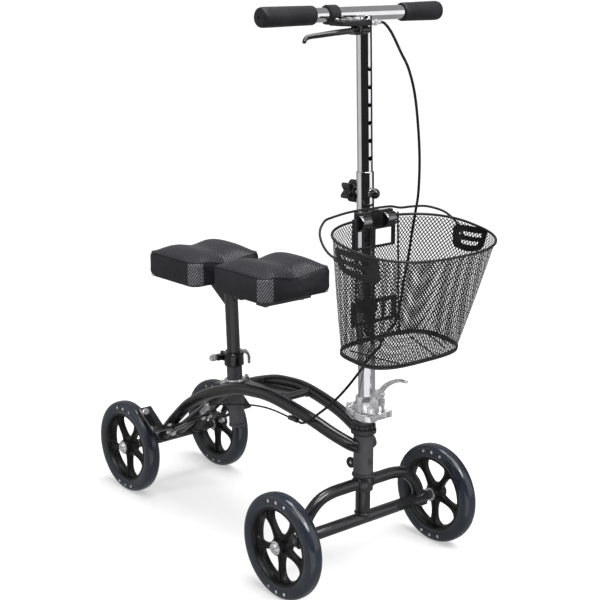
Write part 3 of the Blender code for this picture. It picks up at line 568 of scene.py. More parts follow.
def bearing_shape():
    """A pressed-steel bearing face on each side of the hub."""
    ring = [(0.0070, 0.0162), (0.0124, 0.0162), (0.0130, 0.0170), (0.0118, 0.0177), (0.0082, 0.0177)]
    return together(*[lathe(ring, ORIGIN, ACROSS * side, 40, closed=True) for side in (-1, 1)])


def wheels():
    for label, side in SIDES:
        for end, x, half_track in (("rear", 0, REAR_HALF_TRACK), ("front", HEAD_X, FRONT_HALF_TRACK)):
            body = f"{end}_wheel_{label}"
            for part, shape, look, slot, nodes in (
                ("tread", tyre_shape(), [TYRE, ANCHOR_GLINT], "tyre_urethane", [body + "_tyre"]),
                ("spokes", hub_shape(), HUB, "hub_plastic", [body + "_hub"]),
                ("bearing", bearing_shape(), ZINC, "zinc_plate", ()),
            ):
                bmesh.ops.translate(shape, verts=shape.verts, vec=(x, side * half_track, AXLE_HEIGHT))
                piece(body + "_" + part, shape, body, look, nodes, 28)


def wheel_bolt(name, centre_x, side, half_track, tube_end, body):
    """Black spacer and silver socket-head bolt of one wheel."""
    base = Vector((centre_x, 0, AXLE_HEIGHT))
    out = ACROSS * side
    spacer = rod(base + out * tube_end, base + out * (half_track - 0.0170), 0.0092, 32, 0.0008)
    washer = rod(base + out * (half_track - 0.0180), base + out * (half_track - 0.0168), 0.0125, 32)
    head = [
        (0.0110, 0), (0.0110, 0.0018), (0.0098, 0.0026), (0.0092, 0.0046), (0.0076, 0.0056),
        (0.0046, 0.0056), (0.0040, 0.0030), (0, 0.0028),
    ]
    bolt = lathe(head, base + out * (half_track + 0.0172), out, 40)
    shape = together(bolt, washer, tinted(spacer, 1))
    piece(name + "_fastener", shape, body, [ZINC, BLACK_STEEL], [name])


# Frame.

def arch_path(side):
    """The middle line of a side tube, from the rear axle up and over to the head tube."""
    knots = [
        (0.0165, 0.045, 0.1075), (0.044, 0.045, 0.140), (0.080, 0.045, 0.175), (0.124, 0.045, 0.212),
        (0.195, 0.045, 0.252), (0.288, 0.0445, 0.285), (0.345, 0.044, 0.2945), (0.397, 0.043, 0.2965),
        (0.457, 0.041, 0.289), (0.516, 0.037, 0.277), (0.565, 0.031, 0.2625), (0.607, 0.0235, 0.2515),
        (0.622, 0.0150, 0.2480),
    ]
    return smooth_path([(x, side * y, z) for x, y, z in knots], 8)


def post_cleared(shape):
    """The shape less the room in which the seat post slides."""
    return cut(shape, [rod(post_point(0.150), post_point(0.330), 0.0148, 40)])


def main_frame():
    """Head tube, rear axle and the two arched side tubes."""
    low, high = Vector((HEAD_X, 0, 0.1926)), Vector((HEAD_X, 0, 0.2705))
    peg = rod((HEAD_X + 0.017, 0, 0.220), (HEAD_X + 0.0235, 0, 0.220), 0.0042, 20, 0.0008)
    head = together(pipe(low, high, 0.019, 0.0162, 48, 0.001), peg)
    piece("head_barrel", head, "frame", MATT_PAINT, ["head_tube"])

    end = REAR_HALF_TRACK - 0.032
    axle = rod((0, -end, AXLE_HEIGHT), (0, end, AXLE_HEIGHT), AXLE_RADIUS, 40, 0.001)
    piece("rear_axle_bar", axle, "frame", PAINT, ["rear_axle_tube"])
    for label, side in SIDES:
        path = arch_path(side)
        bead = weld(path[1], path[2] - path[0], FRAME_TUBE_RADIUS + 0.0006)
        tube = together(sweep(path, FRAME_TUBE_RADIUS, 36), bead)
        piece("side_tube_" + label, tube, "frame", PAINT, ["arch_tube_" + label], 50)
        wheel_bolt("rear_axle_bolt_" + label, 0, side, REAR_HALF_TRACK, end, "frame")


def seat_support():
    """The sleeve for the seat post with its brace, gusset, cross strut and zinc band."""
    sleeve = together(
        pipe(post_point(0.181), post_point(0.313), 0.016, 0.0142, 48, 0.001),
        pipe(post_point(0.181), post_point(0.188), 0.0168, 0.0150, 48, 0.001),
        rod(post_point(0.185) - ACROSS * 0.0158, post_point(0.310) - ACROSS * 0.0158, 0.0008, 8),
        weld(post_point(0.270), POST_DIRECTION, 0.0166),
    )
    piece("post_sleeve", sleeve, "frame", MATT_PAINT, ["seat_sleeve"], 50)
    brace = together(
        post_cleared(rod((0.006, 0, 0.1055), (0.2135, 0, 0.2632), 0.011, 36)),
        post_cleared(weld((0.2050, 0, 0.2567), (0.2075, 0, 0.1577), 0.0118)),
        weld((0.0165, 0, 0.1136), (0.2075, 0, 0.1577), 0.0118),
    )
    piece("brace_tube", brace, "frame", PAINT, ["center_brace"], 50)
    slope = Vector((0.995, 0, 0.0999)).normalized()
    outline = mirrored([(-0.034, -0.0312), (0.182, -0.0295)])
    plate = soft_prism(outline, 0.003, (0.2255, 0, 0.2745), slope, ACROSS, 0.0008)
    piece("gusset_sheet", post_cleared(plate), "frame", PAINT, ["gusset_plate"])
    ends = (0.4175, -0.0300, 0.295), (0.4175, 0.0300, 0.295)
    strap = together(rod(*ends, 0.008, 32), *[weld(end, ACROSS, 0.0088) for end in ends])
    piece("cross_strut", strap, "frame", PAINT, ["cross_bar"], 50)

    ring = [
        (0.0163, 0), (0.0212, 0), (0.0222, 0.001), (0.0225, 0.003), (0.0222, 0.005), (0.0212, 0.006),
        (0.0163, 0.006),
    ]
    screws = []
    for side in (-1, 1):
        start = post_point(0.2805) + ACROSS * side * 0.0205
        screws.append(rod(start, start + ACROSS * side * 0.0110, 0.0026, 16))
        screws.append(bolt_head(start + ACROSS * side * 0.0095, ACROSS * side, 0.0050, 0.0044, 0.0062))
    band = together(lathe(ring, post_point(0.2775), POST_DIRECTION, 48, closed=True), *screws)
    piece("sleeve_band", band, "frame", ZINC, ["seat_ring"])


def frame_fittings():
    """The round bumper in front of the head tube, and the stop that ends the cable's housing."""
    disc = [
        (0.0040, 0.0010), (0.0050, 0.0002), (0.0095, 0), (0.0106, 0.0014), (0.0106, 0.0050), (0.0095, 0.0064),
        (0.0050, 0.0062), (0.0040, 0.0052),
    ]
    bumper = together(
        lathe(disc, (0.588, 0, 0.204), -ACROSS, 40, closed=True),
        rod((0.594, -0.003, 0.204), (0.6015, -0.003, 0.204), 0.0034, 20),
        tinted(bolt_head((0.588, 0.0005, 0.204), -ACROSS, 0.0042, 0.0048), 1),
    )
    piece("bumper_disc", bumper, "frame", [PLASTIC, ZINC], ["frame_bumper"])
    stop = together(
        pipe((0.452, -0.0425, 0.2675), (0.478, -0.0435, 0.2675), 0.0048, 0.0016, 28),
        soft_block((0.460, -0.0440, 0.2690), (0.470, -0.0360, 0.2790), 0.001),
    )
    piece("cable_anchor", stop, "frame", BLACK_STEEL, ["cable_stop"])


def seat_clamp():
    """Split collar with its skewer, nut and silver quick-release lever."""
    collar = together(
        pipe(post_point(0.3125), post_point(0.3400), 0.0205, 0.0142, 56, 0.0014),
        pipe(post_point(0.3340), post_point(0.3385), 0.0216, 0.0150, 56, 0.0010),
    )
    ears = [soft_block((0.1865, y - 0.0036, 0.3170), (0.212, y + 0.0036, 0.3370), 0.0016)
            for y in (-0.0064, 0.0064)]
    arm = soft_block((0.1875, -0.0290, 0.3215), (0.2050, -0.0100, 0.3325), 0.0022)
    piece("post_collar", together(collar, arm, *ears), "frame", GLOSS_BLACK,
          ["seat_clamp_collar"])
    centre = Vector((0.1935, 0, 0.327))
    skewer = together(
        rod(centre - ACROSS * 0.040, centre + ACROSS * 0.030, 0.0026, 20),
        hex_nut(centre - ACROSS * 0.0320, -ACROSS, 0.0062, 0.0070),
        rod(centre - ACROSS * 0.0315, centre - ACROSS * 0.0285, 0.0074, 28, 0.0006),
        rod(centre + ACROSS * 0.0110, centre + ACROSS * 0.0300, 0.0058, 28, 0.001),
    )
    piece("clamp_skewer", skewer, "frame", ZINC)
    cam = rod(SEAT_LEVER_PIVOT - UP * 0.0065, SEAT_LEVER_PIVOT + UP * 0.0065, 0.0062, 32, 0.001)
    offsets = ((0.003, 0.001, 0), (0.013, 0.004, 0.004), (0.024, 0.005, -0.002), (0.027, 0.004, -0.020))
    path = smooth_path([SEAT_LEVER_PIVOT + Vector(offset) for offset in offsets], 8)
    handle = tapered(path, 20, last=(0.0010, 0.0018), size_at=lambda share: (
        0.0020 + 0.0008 * share, 0.0036 + 0.0014 * math.sin(math.pi * share)))
    piece("seat_quick_release", together(cam, handle), "seat_clamp_lever", ZINC,
          ["seat_clamp_lever"])


def headset():
    """Upper cup with a castellated ring, and the lower cup."""
    top = Vector((HEAD_X, 0, 0.2709))
    upper = [
        (0.0150, 0), (0.0216, 0), (0.0222, 0.0006), (0.0242, 0.0024), (0.0242, 0.0098), (0.0232, 0.0108),
        (0.0206, 0.0122), (0.0206, 0.0262), (0.0150, 0.0262),
    ]
    shapes = [lathe(upper, top, UP, 56, closed=True)]
    tooth = [(-0.0030, 0.0128), (0.0030, 0.0128), (0.0030, 0.0190), (-0.0030, 0.0190)]
    for spoke in circle(14, AHEAD, ACROSS):
        shapes.append(soft_prism(tooth, 0.0030, top + spoke * 0.0212, spoke.cross(UP), UP, 0.0006))
    piece("headset_crown", together(*shapes), "frame", BLACK_STEEL, ["headset_upper_cup"])
    lower = [
        (0.0150, 0), (0.0203, 0), (0.0215, 0.0016), (0.0215, 0.0044), (0.0195, 0.0060), (0.0150, 0.0062),
    ]
    foot = lathe(lower, (HEAD_X, 0, 0.1922), -UP, 56, closed=True)
    piece("headset_foot", foot, "frame", BLACK_STEEL, ["headset_lower_cup"])


def brake_lug(label, side):
    """The tab under an arch that an arm of the brake turns on, with its pivot bolt."""
    pivot = brake_point(0.094, side * 0.066)
    tab_base = brake_point(0.094, side * 0.040, 0.0092)
    outline = [(-0.010, 0), (0.010, 0), (0.009, 0.034), (-0.009, 0.034)]
    tab = soft_prism(outline, 0.0075, tab_base, RADIAL, ACROSS * side, 0.0012)
    fixings = together(
        bolt_head(pivot + BRAKE_AXIS * 0.0131, BRAKE_AXIS, 0.0058, 0.0042, 0.0075),
        hex_nut(pivot - BRAKE_AXIS * 0.0024, -BRAKE_AXIS, 0.0062, 0.0042),
    )
    shape = together(tinted(tab, 1), fixings)
    piece("brake_lug_" + label, shape, "frame", [ZINC, PAINT], ["brake_pivot_" + label])


def brake_crank(label, side):
    """An arm of the brake, bent from flat bar, with its bolts."""
    out = ACROSS * side
    outline = [
        (0.131, 0.003), (0.143, 0.003), (0.145, 0.014), (0.110, 0.068), (0.1290, 0.0920),
        (0.1290, 0.1300), (0.1200, 0.1300), (0.1190, 0.098), (0.103, 0.080), (0.088, 0.072),
        (0.086, 0.060), (0.098, 0.056),
    ]
    plane = Vector((0, 0, AXLE_HEIGHT)) + BRAKE_AXIS * BRAKE_PLANE
    arm = soft_prism(outline, 0.004, plane, RADIAL, out, 0.0008)
    flange_base = Vector((0, 0, AXLE_HEIGHT)) + SHOE_RADIAL * 0.1145
    flange_outline = [(-0.0540, 0.100), (0.0120, 0.100), (0.0120, 0.1315), (-0.0540, 0.1315)]
    flange = soft_prism(flange_outline, 0.004, flange_base, SHOE_TANGENT, out, 0.0009)
    stud_base = flange_base + out * 0.120 + SHOE_RADIAL * 0.0018
    silver = [bolt_head(stud_base, SHOE_RADIAL, 0.0062, 0.0052, 0.0078)]
    for radius, across in ((0.1085, 0.0855), (0.1375, 0.0085), (0.0925, 0.0635)):
        place = brake_point(radius, side * across, -0.0021)
        silver.append(bolt_head(place, -BRAKE_AXIS, 0.0046, 0.0030, 0.0060))
    shape = together(arm, flange, *[tinted(each, 1) for each in silver])
    piece("brake_crank_" + label, shape, "brake_arm_" + label, [GLOSS_BLACK, ZINC],
          ["brake_arm_" + label])


def brake_block(label, side):
    """A rubber shoe that follows the curve of the tyre."""
    pad = []
    for radius, turns in ((0.1027, (-1, -0.5, 0, 0.5, 1)), (0.1122, (1, 0.5, 0, -0.5, -1))):
        for turn in turns:
            angle = turn * math.radians(8)
            pad.append((radius * math.sin(angle), radius * math.cos(angle)))
    block_base = (0, side * REAR_HALF_TRACK, AXLE_HEIGHT)
    shoe = soft_prism(pad, 0.020, block_base, SHOE_TANGENT, SHOE_RADIAL, 0.001)
    piece("brake_block_" + label, shoe, "brake_arm_" + label, RUBBER,
          ["brake_shoe_" + label])


def rear_brake():
    for label, side in SIDES:
        brake_lug(label, side)
        brake_crank(label, side)
        brake_block(label, side)
    start = brake_point(0.156, -0.0195, 0.004)
    coil = together(
        helix(start, RADIAL, 0.024, 0.0046, 0.0008, 9),
        knurled(start + RADIAL * 0.0235, RADIAL, 0.0068, 0.0070),
        rod(start + RADIAL * 0.0300, start + RADIAL * 0.0360, 0.0044, 24, 0.0008),
    )
    piece("return_coil", coil, "frame", ZINC, ["brake_spring"])


# Steering.

def front_arch_path():
    """The middle line of the steering yoke, from its left foot on the front axle to its right foot."""
    knots = [
        (0.151, 0.106), (0.1435, 0.128), (0.130, 0.148), (0.108, 0.1645), (0.080, 0.1715), (0.045, 0.1725),
        (0.0, 0.1725),
    ]
    half = smooth_path([(HEAD_X, y, z) for y, z in knots], 8)
    return half + [Vector((p.x, -p.y, p.z)) for p in reversed(half[:-1])]


def steering_group():
    """Front axle, steerer and the arched yoke."""
    end = FRONT_HALF_TRACK - 0.030
    shapes = [rod((HEAD_X, -end, AXLE_HEIGHT), (HEAD_X, end, AXLE_HEIGHT), AXLE_RADIUS, 40, 0.001)]
    for y in (-0.158, 0.158):
        low, high = (HEAD_X - 0.010, y - 0.008, 0.0865), (HEAD_X + 0.010, y + 0.008, 0.0920)
        shapes.append(soft_block(low, high, 0.001))
        shapes.append(tinted(bolt_head((HEAD_X, y, 0.0868), -UP, 0.0050, 0.0040), 1))
    piece("front_axle_bar", together(*shapes), "steering", [PAINT, BLACK_STEEL],
          ["front_axle_tube"])
    steerer = together(
        rod((HEAD_X, 0, 0.104), (HEAD_X, 0, 0.2982), 0.0142, 48, 0.001),
        weld((HEAD_X, 0, 0.1125), UP, 0.0150),
    )
    piece("steerer_column", steerer, "steering", PAINT, ["steerer_tube"], 50)
    path = front_arch_path()
    arch = together(
        sweep(path, FRAME_TUBE_RADIUS - 0.001, 36),
        pipe((HEAD_X, 0, 0.158), (HEAD_X, 0, 0.1852), 0.019, 0.0100, 56, 0.0012),
        weld(path[2], path[3] - path[1], 0.0122),
        weld(path[-3], path[-2] - path[-4], 0.0122),
        weld((HEAD_X, 0.0175, 0.1725), ACROSS, 0.0122),
        weld((HEAD_X, -0.0175, 0.1725), ACROSS, 0.0122),
    )
    piece("fork_arch", arch, "steering", PAINT, ["front_arch"], 50)
    for label, side in SIDES:
        wheel_bolt("front_axle_bolt_" + label, HEAD_X, side, FRONT_HALF_TRACK, end, "steering")


def clamp_casting():
    """The lower half of the fold: body, two jaws for the lock bolt and two ears for the pin."""
    half = [(0.6055, 0.0160), (0.616, 0.0178), (0.629, 0.0185), (0.640, 0.0150), (0.647, 0.0085)]
    solid = soft_prism(mirrored(half), 0.0165, (0, 0, 0.30675), AHEAD, ACROSS, 0.0022, 3)
    nose_outline = [
        (0.640, 0.3030), (0.655, 0.3050), (0.686, 0.3190), (0.686, 0.3330), (0.672, 0.3230),
        (0.657, 0.3148), (0.640, 0.3145),
    ]
    jaws = [soft_prism(nose_outline, 0.0046, (0, y, 0), AHEAD, UP, 0.0011) for y in (-0.0067, 0.0067)]
    ear_outline = [
        (0.584, 0.3030), (0.612, 0.3030), (0.612, 0.3140), (0.6015, 0.3140), (0.6005, 0.3255),
        (0.584, 0.3255),
    ]
    ears = [soft_prism(ear_outline, 0.005, (0, y, 0), AHEAD, UP, 0.0014) for y in (-0.011, 0.011)]
    pin = [cap_head(FOLD_PIVOT + ACROSS * side * 0.0132, ACROSS * side, 0.0056, 0.0038) for side in (-1, 1)]
    piece("clamp_casting", together(solid, *jaws, *ears, *pin), "steering", CAST,
          ["stem_clamp_base"])


# Stem.

def stem_group():
    """The upper half of the fold, and the outer tube of the column."""
    socket = [
        (0.0170, -0.0225), (0.0206, -0.0225), (0.0212, -0.0210), (0.0212, 0.0050), (0.0204, 0.0068),
        (0.0166, 0.0070),
    ]
    half = [(0.6060, 0.0160), (0.618, 0.0172), (0.633, 0.0175), (0.644, 0.0140), (0.652, 0.0092)]
    eye = rod(FOLD_PIVOT - ACROSS * 0.0078, FOLD_PIVOT + ACROSS * 0.0078, 0.0085, 32, 0.0012)
    shapes = [
        lathe(socket, STEM_BASE, STEM_DIRECTION, 56, closed=True),
        soft_prism(mirrored(half), 0.0168, (0, 0, 0.3246), AHEAD, ACROSS, 0.0022, 3),
        eye,
        soft_block((0.5945, -0.0078, 0.3165), (0.612, 0.0078, 0.3245), 0.0012),
    ]
    lug = [(0.6440, 0.3300), (0.6640, 0.3300), (0.6660, 0.3480), (0.6540, 0.3510)]
    for y in (-0.0085, 0.0085):
        shapes.append(soft_prism(lug, 0.0040, (0, y, 0), AHEAD, UP, 0.0011))
    piece("knuckle_casting", together(*shapes), "stem", CAST, ["stem_knuckle"])

    outer = pipe(stem_point(-0.0076), stem_point(0.4260), 0.016, 0.0143, 72, 0.0007)
    piece("column_lower", outer, "stem", CHROME, ["stem_outer_tube"])


def lock_lever():
    """The cam lever that holds the column upright, with its bolt and nut."""
    barrel = rod(LOCK_PIVOT - ACROSS * 0.0062, LOCK_PIVOT + ACROSS * 0.0062, 0.0092, 40, 0.0010)
    offsets = (
        (0.001, 0, 0.002), (0.016, 0, 0.019), (0.034, 0, 0.031), (0.054, 0, 0.0385), (0.072, 0, 0.0395),
    )
    path = smooth_path([LOCK_PIVOT + Vector(offset) for offset in offsets], 8)
    blade = tapered(path, 24, last=(0.0026, 0.0012), size_at=lambda share: (
        0.0068 - 0.0022 * share, 0.0052 - 0.0028 * share))
    disc = [(0, 0), (0.0072, 0), (0.0072, 0.0016), (0.0062, 0.0022), (0.0050, 0.0022), (0.0044, 0.0012),
            (0.0030, 0.0012), (0.0026, 0.0020), (0, 0.0022)]
    cheeks = [lathe(disc, LOCK_PIVOT + ACROSS * side * 0.0060, ACROSS * side, 40) for side in (-1, 1)]
    down = Vector((0.0135, 0, -0.0340))
    bolt = rod(LOCK_PIVOT, LOCK_PIVOT + down, 0.0030, 20)
    nut = hex_nut(LOCK_PIVOT + Vector((0.0112, 0, -0.0282)), down, 0.0054, 0.0050)
    piece("lock_handle", together(barrel, blade, bolt, nut, *cheeks), "stem_lock_lever", ZINC,
          ["stem_lock_lever"])


def knob_and_pin():
    """The lobed knob behind the column, the pull pin before it, and the bosses that hold them."""
    rear = Vector((-1, 0, -0.0284)).normalized()
    height = stem_point(0.387)
    corners = 80
    knob = []
    for i, spoke in enumerate(circle(corners, Vector((1, 0)), Vector((0, 1)))):
        knob.append(spoke * (0.0170 + 0.0046 * math.cos(5 * 2 * math.pi * i / corners + 0.6)))
    grip = soft_prism(knob, 0.020, height + rear * 0.036, ACROSS, STEM_DIRECTION, 0.0026, 3)
    shapes = [grip, rod(height + rear * 0.0215, height + rear * 0.034, 0.0104, 32, 0.0012)]
    shapes.append(tinted(rod(height + rear * 0.0165, height + rear * 0.024, 0.0046, 24), 1))
    shapes.append(lathe([(0.0095, 0), (0.0085, 0.0014), (0, 0.0020)], height + rear * 0.0459, rear, 32))
    piece("clamp_knob", together(*shapes), "star_knob", [GLOSS_BLACK, ZINC], ["star_knob"])

    ball = [
        (0, 0.0166), (0.0046, 0.0166), (0.0050, 0.0172), (0.0052, 0.0178), (0.0074, 0.0188),
        (0.0090, 0.0215), (0.0096, 0.0246), (0.0090, 0.0277), (0.0076, 0.0305), (0.0054, 0.0327),
        (0.0028, 0.0339), (0, 0.0342),
    ]
    pin = lathe(ball, stem_point(0.388), -rear, 40)
    piece("index_pin", pin, "pull_pin", GLOSS_BLACK, ["pull_pin"])
    boss = together(
        rod(stem_point(0.388) - rear * 0.0150, stem_point(0.388) - rear * 0.0172, 0.0068, 32, 0.0006),
        rod(stem_point(0.387) + rear * 0.0150, stem_point(0.387) + rear * 0.0200, 0.0074, 32, 0.0008),
    )
    piece("column_bosses", boss, "stem", CHROME)


# Basket.

BASKET_POWER = 2.5
BASKET_SAMPLES = 720


def basket_outline(level, inset=0.0):
    """Centre X, half length, half width, mean height and tilt of the basket wall at a level from 0 to 1."""
    return (0.717 + level * 0.030, 0.064 + level * 0.042 - inset, 0.113 + level * 0.043 - inset,
            0.456 + level * 0.211, 0.10 + level * 0.07)


def basket_middle(level):
    """Y of the basket's middle: it hangs a little to the rider's right, most at its foot."""
    return -0.006 + 0.0035 * level


def basket_ring(level, count, shift=0.0, inset=0.0):
    """Evenly spaced points of the basket wall at a level."""
    centre_x, half_length, half_width, height, tilt = basket_outline(level, inset)
    dense = []
    for i in range(BASKET_SAMPLES):
        angle = 2 * math.pi * i / BASKET_SAMPLES
        c, s = math.cos(angle), math.sin(angle)
        power = BASKET_POWER + 0.8 * (1 - level)
        x = math.copysign(abs(c) ** (2 / power), c) * half_length
        y = math.copysign(abs(s) ** (2 / power), s) * half_width + basket_middle(level)
        dense.append(Vector((centre_x + x, y, height - tilt * x)))
    travelled = [0.0]
    for a, b in zip(dense, dense[1:] + dense[:1]):
        travelled.append(travelled[-1] + (b - a).length)
    ring = []
    step = 0
    for i in range(count):
        target = travelled[-1] * ((i + shift) % count) / count
        if target < travelled[step]:
            step = 0
        while travelled[step + 1] < target:
            step += 1
        share = (target - travelled[step]) / (travelled[step + 1] - travelled[step])
        ring.append(dense[step].lerp(dense[(step + 1) % BASKET_SAMPLES], share))
    return ring


def strands(shape, thickness):
    """Turn every face into an opening between square strands."""
    bmesh.ops.wireframe(shape, faces=shape.faces, thickness=thickness, offset=0, use_replace=True,
                        use_boundary=True, use_even_offset=False)
    return shape


def basket_mesh():
    """Expanded diamond mesh that wraps the basket, open where the bracket's windows are."""
    columns, rows = 120, 27
    shape = bmesh.new()
    lattice = []
    for j in range(2 * rows + 1):
        ring = basket_ring(j / (2 * rows), columns, 0.5 * (j % 2), 0.0008)
        lattice.append([shape.verts.new(point) for point in ring])
    for j in range(1, 2 * rows):
        for i in range(columns):
            start = i - j % 2
            side, other = lattice[j][start], lattice[j][(start + 1) % columns]
            x, y, z = (side.co + other.co) / 2
            if not (x < 0.68 and -0.053 < y < 0.050 and 0.631 < z < 0.700):
                shape.faces.new((lattice[j - 1][i], other, lattice[j + 1][i], side))
    return strands(shape, 0.0026)


def basket_floor_mesh():
    """Flat expanded mesh that closes the bottom."""
    centre_x, half_length, half_width, height, tilt = basket_outline(0)
    pitch_x, pitch_y = 0.0056, 0.0076
    shape = bmesh.new()
    corners = {}

    def corner(i, j):
        if (i, j) not in corners:
            x, y = i * pitch_x / 2, j * pitch_y / 2
            corners[i, j] = shape.verts.new((centre_x + x, y + basket_middle(0), height - tilt * x))
        return corners[i, j]

    for i in range(-25, 26):
        for j in range(-32, 33):
            x, y = i * pitch_x / 2, j * pitch_y / 2
            outside = abs(x / half_length) ** 3 + abs(y / half_width) ** 3 > 1
            if (i + j) % 2 == 0 and not outside:
                shape.faces.new((corner(i - 1, j), corner(i, j - 1), corner(i + 1, j), corner(i, j + 1)))
    return strands(shape, 0.0017)


def basket_floor_wires():
    """The bottom wire, and the bowed wires that stiffen the floor."""
    height = 0.4585
    bows = (
        ((0.674, -0.030), (0.656, 0.020), (0.657, 0.062), (0.666, 0.092), (0.698, 0.107), (0.748, 0.085)),
        ((0.660, 0.066), (0.704, 0.048), (0.776, 0.026)),
        ((0.672, 0.096), (0.712, 0.086), (0.758, 0.068)),
        ((0.678, -0.092), (0.714, -0.080), (0.770, -0.060)),
    )
    shapes = [sweep(basket_ring(0, 120), 0.0019, 10, closed=True)]
    for bow in bows:
        knots = [(x, y, height - 0.10 * (x - 0.720)) for x, y in bow]
        shapes.append(sweep(smooth_path(knots, 8), 0.0013, 10))
    return together(*shapes)


def wall_point(x, z, side, lift):
    """A point just outside the basket's side wall."""
    level = (z - 0.456 + 0.12 * (x - 0.735)) / 0.211
    centre_x, half_length, half_width = basket_outline(level)[:3]
    reach = half_width * (1 - abs((x - centre_x) / half_length) ** BASKET_POWER) ** (1 / BASKET_POWER)
    return Vector((x, side * (reach + lift) + basket_middle(level), z))


def side_plate(side, x0, x1, left_z, middle_z, right_z, top):
    """Moulded plate on the basket's side, with two plain long slots."""
    columns, rows = 64, 32
    shape = bmesh.new()
    grid = []
    for j in range(rows + 1):
        v = j / rows
        grid.append([])
        for i in range(columns + 1):
            u = i / columns
            low = left_z + (right_z - left_z) * u + 4 * u * (1 - u) * (middle_z - (left_z + right_z) / 2)
            x = x0 + (x1 - x0) * (u + 0.12 * (1 - v) * (0.5 - u))
            grid[j].append(shape.verts.new(wall_point(x, low + (top - low) * v, side, 0.0012)))
    for j in range(rows):
        for i in range(columns):
            slot = j in range(8, 13) and i in range(14, 50) or j in range(19, 24) and i in range(10, 54)
            clipped = min(i, columns - 1 - i) + min(j, rows - 1 - j) < 4
            if not slot and not clipped:
                shape.faces.new((grid[j][i], grid[j][i + 1], grid[j + 1][i + 1], grid[j + 1][i]))
    loose = [v for v in shape.verts if not v.link_faces]
    bmesh.ops.delete(shape, geom=loose, context="VERTS")
    bmesh.ops.solidify(shape, geom=shape.faces, thickness=0.0018)
    return shape


def framed_plate(low, high, windows, edge):
    """An upright moulded plate across the scooter with rounded edges and window openings."""
    holes = [block((low[0] - 0.02, y0, z0), (high[0] + 0.02, y1, z1)) for y0, y1, z0, z1 in windows]
    return softened(cut(block(low, high), holes), edge)


def basket_group():
    """Mesh, wires and side plates."""
    piece("basket_weave", basket_mesh(), "stem", MESH_COAT, ["basket_shell"], 30)
    piece("basket_base_mesh", basket_floor_mesh(), "stem", MESH_COAT, (), 30)
    rim = together(
        sweep(basket_ring(1, 140), 0.0024, 14, closed=True),
        sweep(basket_ring(0.020, 120), 0, 16, closed=True, flat=[(0.0013, 0.0026)] * 120),
        basket_floor_wires(),
    )
    piece("basket_wires", rim, "stem", BLACK_STEEL)
    plates = together(
        side_plate(-1, 0.704, 0.805, 0.6270, 0.6160, 0.6110, 0.6630),
        side_plate(1, 0.698, 0.775, 0.6250, 0.6190, 0.6290, 0.6640),
    )
    piece("basket_side_plates", plates, "stem", PLASTIC)


def basket_mounts():
    """The two plastic yokes on the column, the hooks over the upper one and the upright wires."""
    top = stem_point(0.345)
    reach = STEM_DIRECTION * 0.008
    plate = framed_plate((0.6385, -0.0530, 0.630), (0.6445, 0.0500, 0.688),
                         [(-0.0420, -0.0095, 0.6345, 0.6640), (0.0010, 0.0430, 0.6345, 0.6640)], 0.0014)
    bar = soft_block((0.6355, -0.046, 0.686), (0.6450, 0.043, 0.6975), 0.0018)
    ribs = [soft_block((0.6345, y, 0.6700), (0.6462, y + 0.0028, 0.6985), 0.0008)
            for y in (-0.0100, -0.0050, 0.0, 0.0050, 0.0100)]
    yoke = pipe(top - reach, top + reach, 0.0205, 0.0162, 56, 0.0014)
    piece("basket_carrier", together(yoke, plate, bar, *ribs), "stem", PLASTIC,
          ["basket_bracket"])
    hooks = []
    for y in (-0.0290, 0.0315):
        centre = Vector((0.6440, y, 0.6800))
        arc = [centre + spoke for spoke in circle(36, AHEAD * 0.0125, UP * 0.0128, -8)[:25]]
        hooks.append(sweep(arc, 0, 20, flat=[(0.0125, 0.0013)] * len(arc)))
    piece("basket_hooks", together(*hooks), "stem", DARK_CHROME, (), 70)

    low = stem_point(0.180)
    reach = STEM_DIRECTION * 0.012
    windows = [(y0, y1, 0.4965, 0.5275) for y0, y1 in
               ((-0.0460, -0.0200), (0.0020, 0.0210), (0.0245, 0.0450))]
    plate = framed_plate((0.6400, -0.055, 0.491), (0.6465, 0.055, 0.535), windows, 0.0012)
    yoke = pipe(low - reach, low + reach, 0.0205, 0.0162, 56, 0.0014)
    piece("basket_standoff", together(yoke, plate), "stem", PLASTIC, ["basket_spacer"])
    uprights = []
    for y in (-0.050, 0.055):
        path = [(0.6440, y, 0.690), (0.6470, y, 0.610), (0.6495, y, 0.530), (0.6540, y, 0.472),
                (0.662, y, 0.4625)]
        uprights.append(sweep(smooth_path(path, 6), 0.0018, 10))
    piece("basket_uprights", together(*uprights), "stem", BLACK_STEEL)


def basket_handle():
    """The wire bail and the eyes that it swings on."""
    knots = [
        (0.714, -0.1585, 0.645), (0.700, -0.1615, 0.6520), (0.683, -0.1610, 0.6660), (0.671, -0.156, 0.6845),
        (0.657, -0.133, 0.6975), (0.650, -0.110, 0.7000), (0.649, -0.078, 0.7035), (0.648, -0.050, 0.7045),
        (0.648, -0.015, 0.704), (0.648, 0.030, 0.7030), (0.650, 0.056, 0.6980), (0.650, 0.087, 0.6965),
        (0.653, 0.122, 0.6930), (0.668, 0.1510, 0.6820), (0.690, 0.1575, 0.6670), (0.706, 0.1560, 0.6530),
        (0.714, 0.1535, 0.645),
    ]
    eyes = [lathe([(0.0020, -0.0010), (0.0042, -0.0010), (0.0042, 0.0010), (0.0020, 0.0010)],
                  (0.714, y, 0.6435), ACROSS, 24, closed=True) for y in (-0.1585, 0.1535)]
    bail = together(sweep(smooth_path(knots, 7), 0.0022, 16), *eyes)
    piece("bail_wire", bail, "basket_bail", BLACK_STEEL, ["basket_bail"])


# Handlebar.

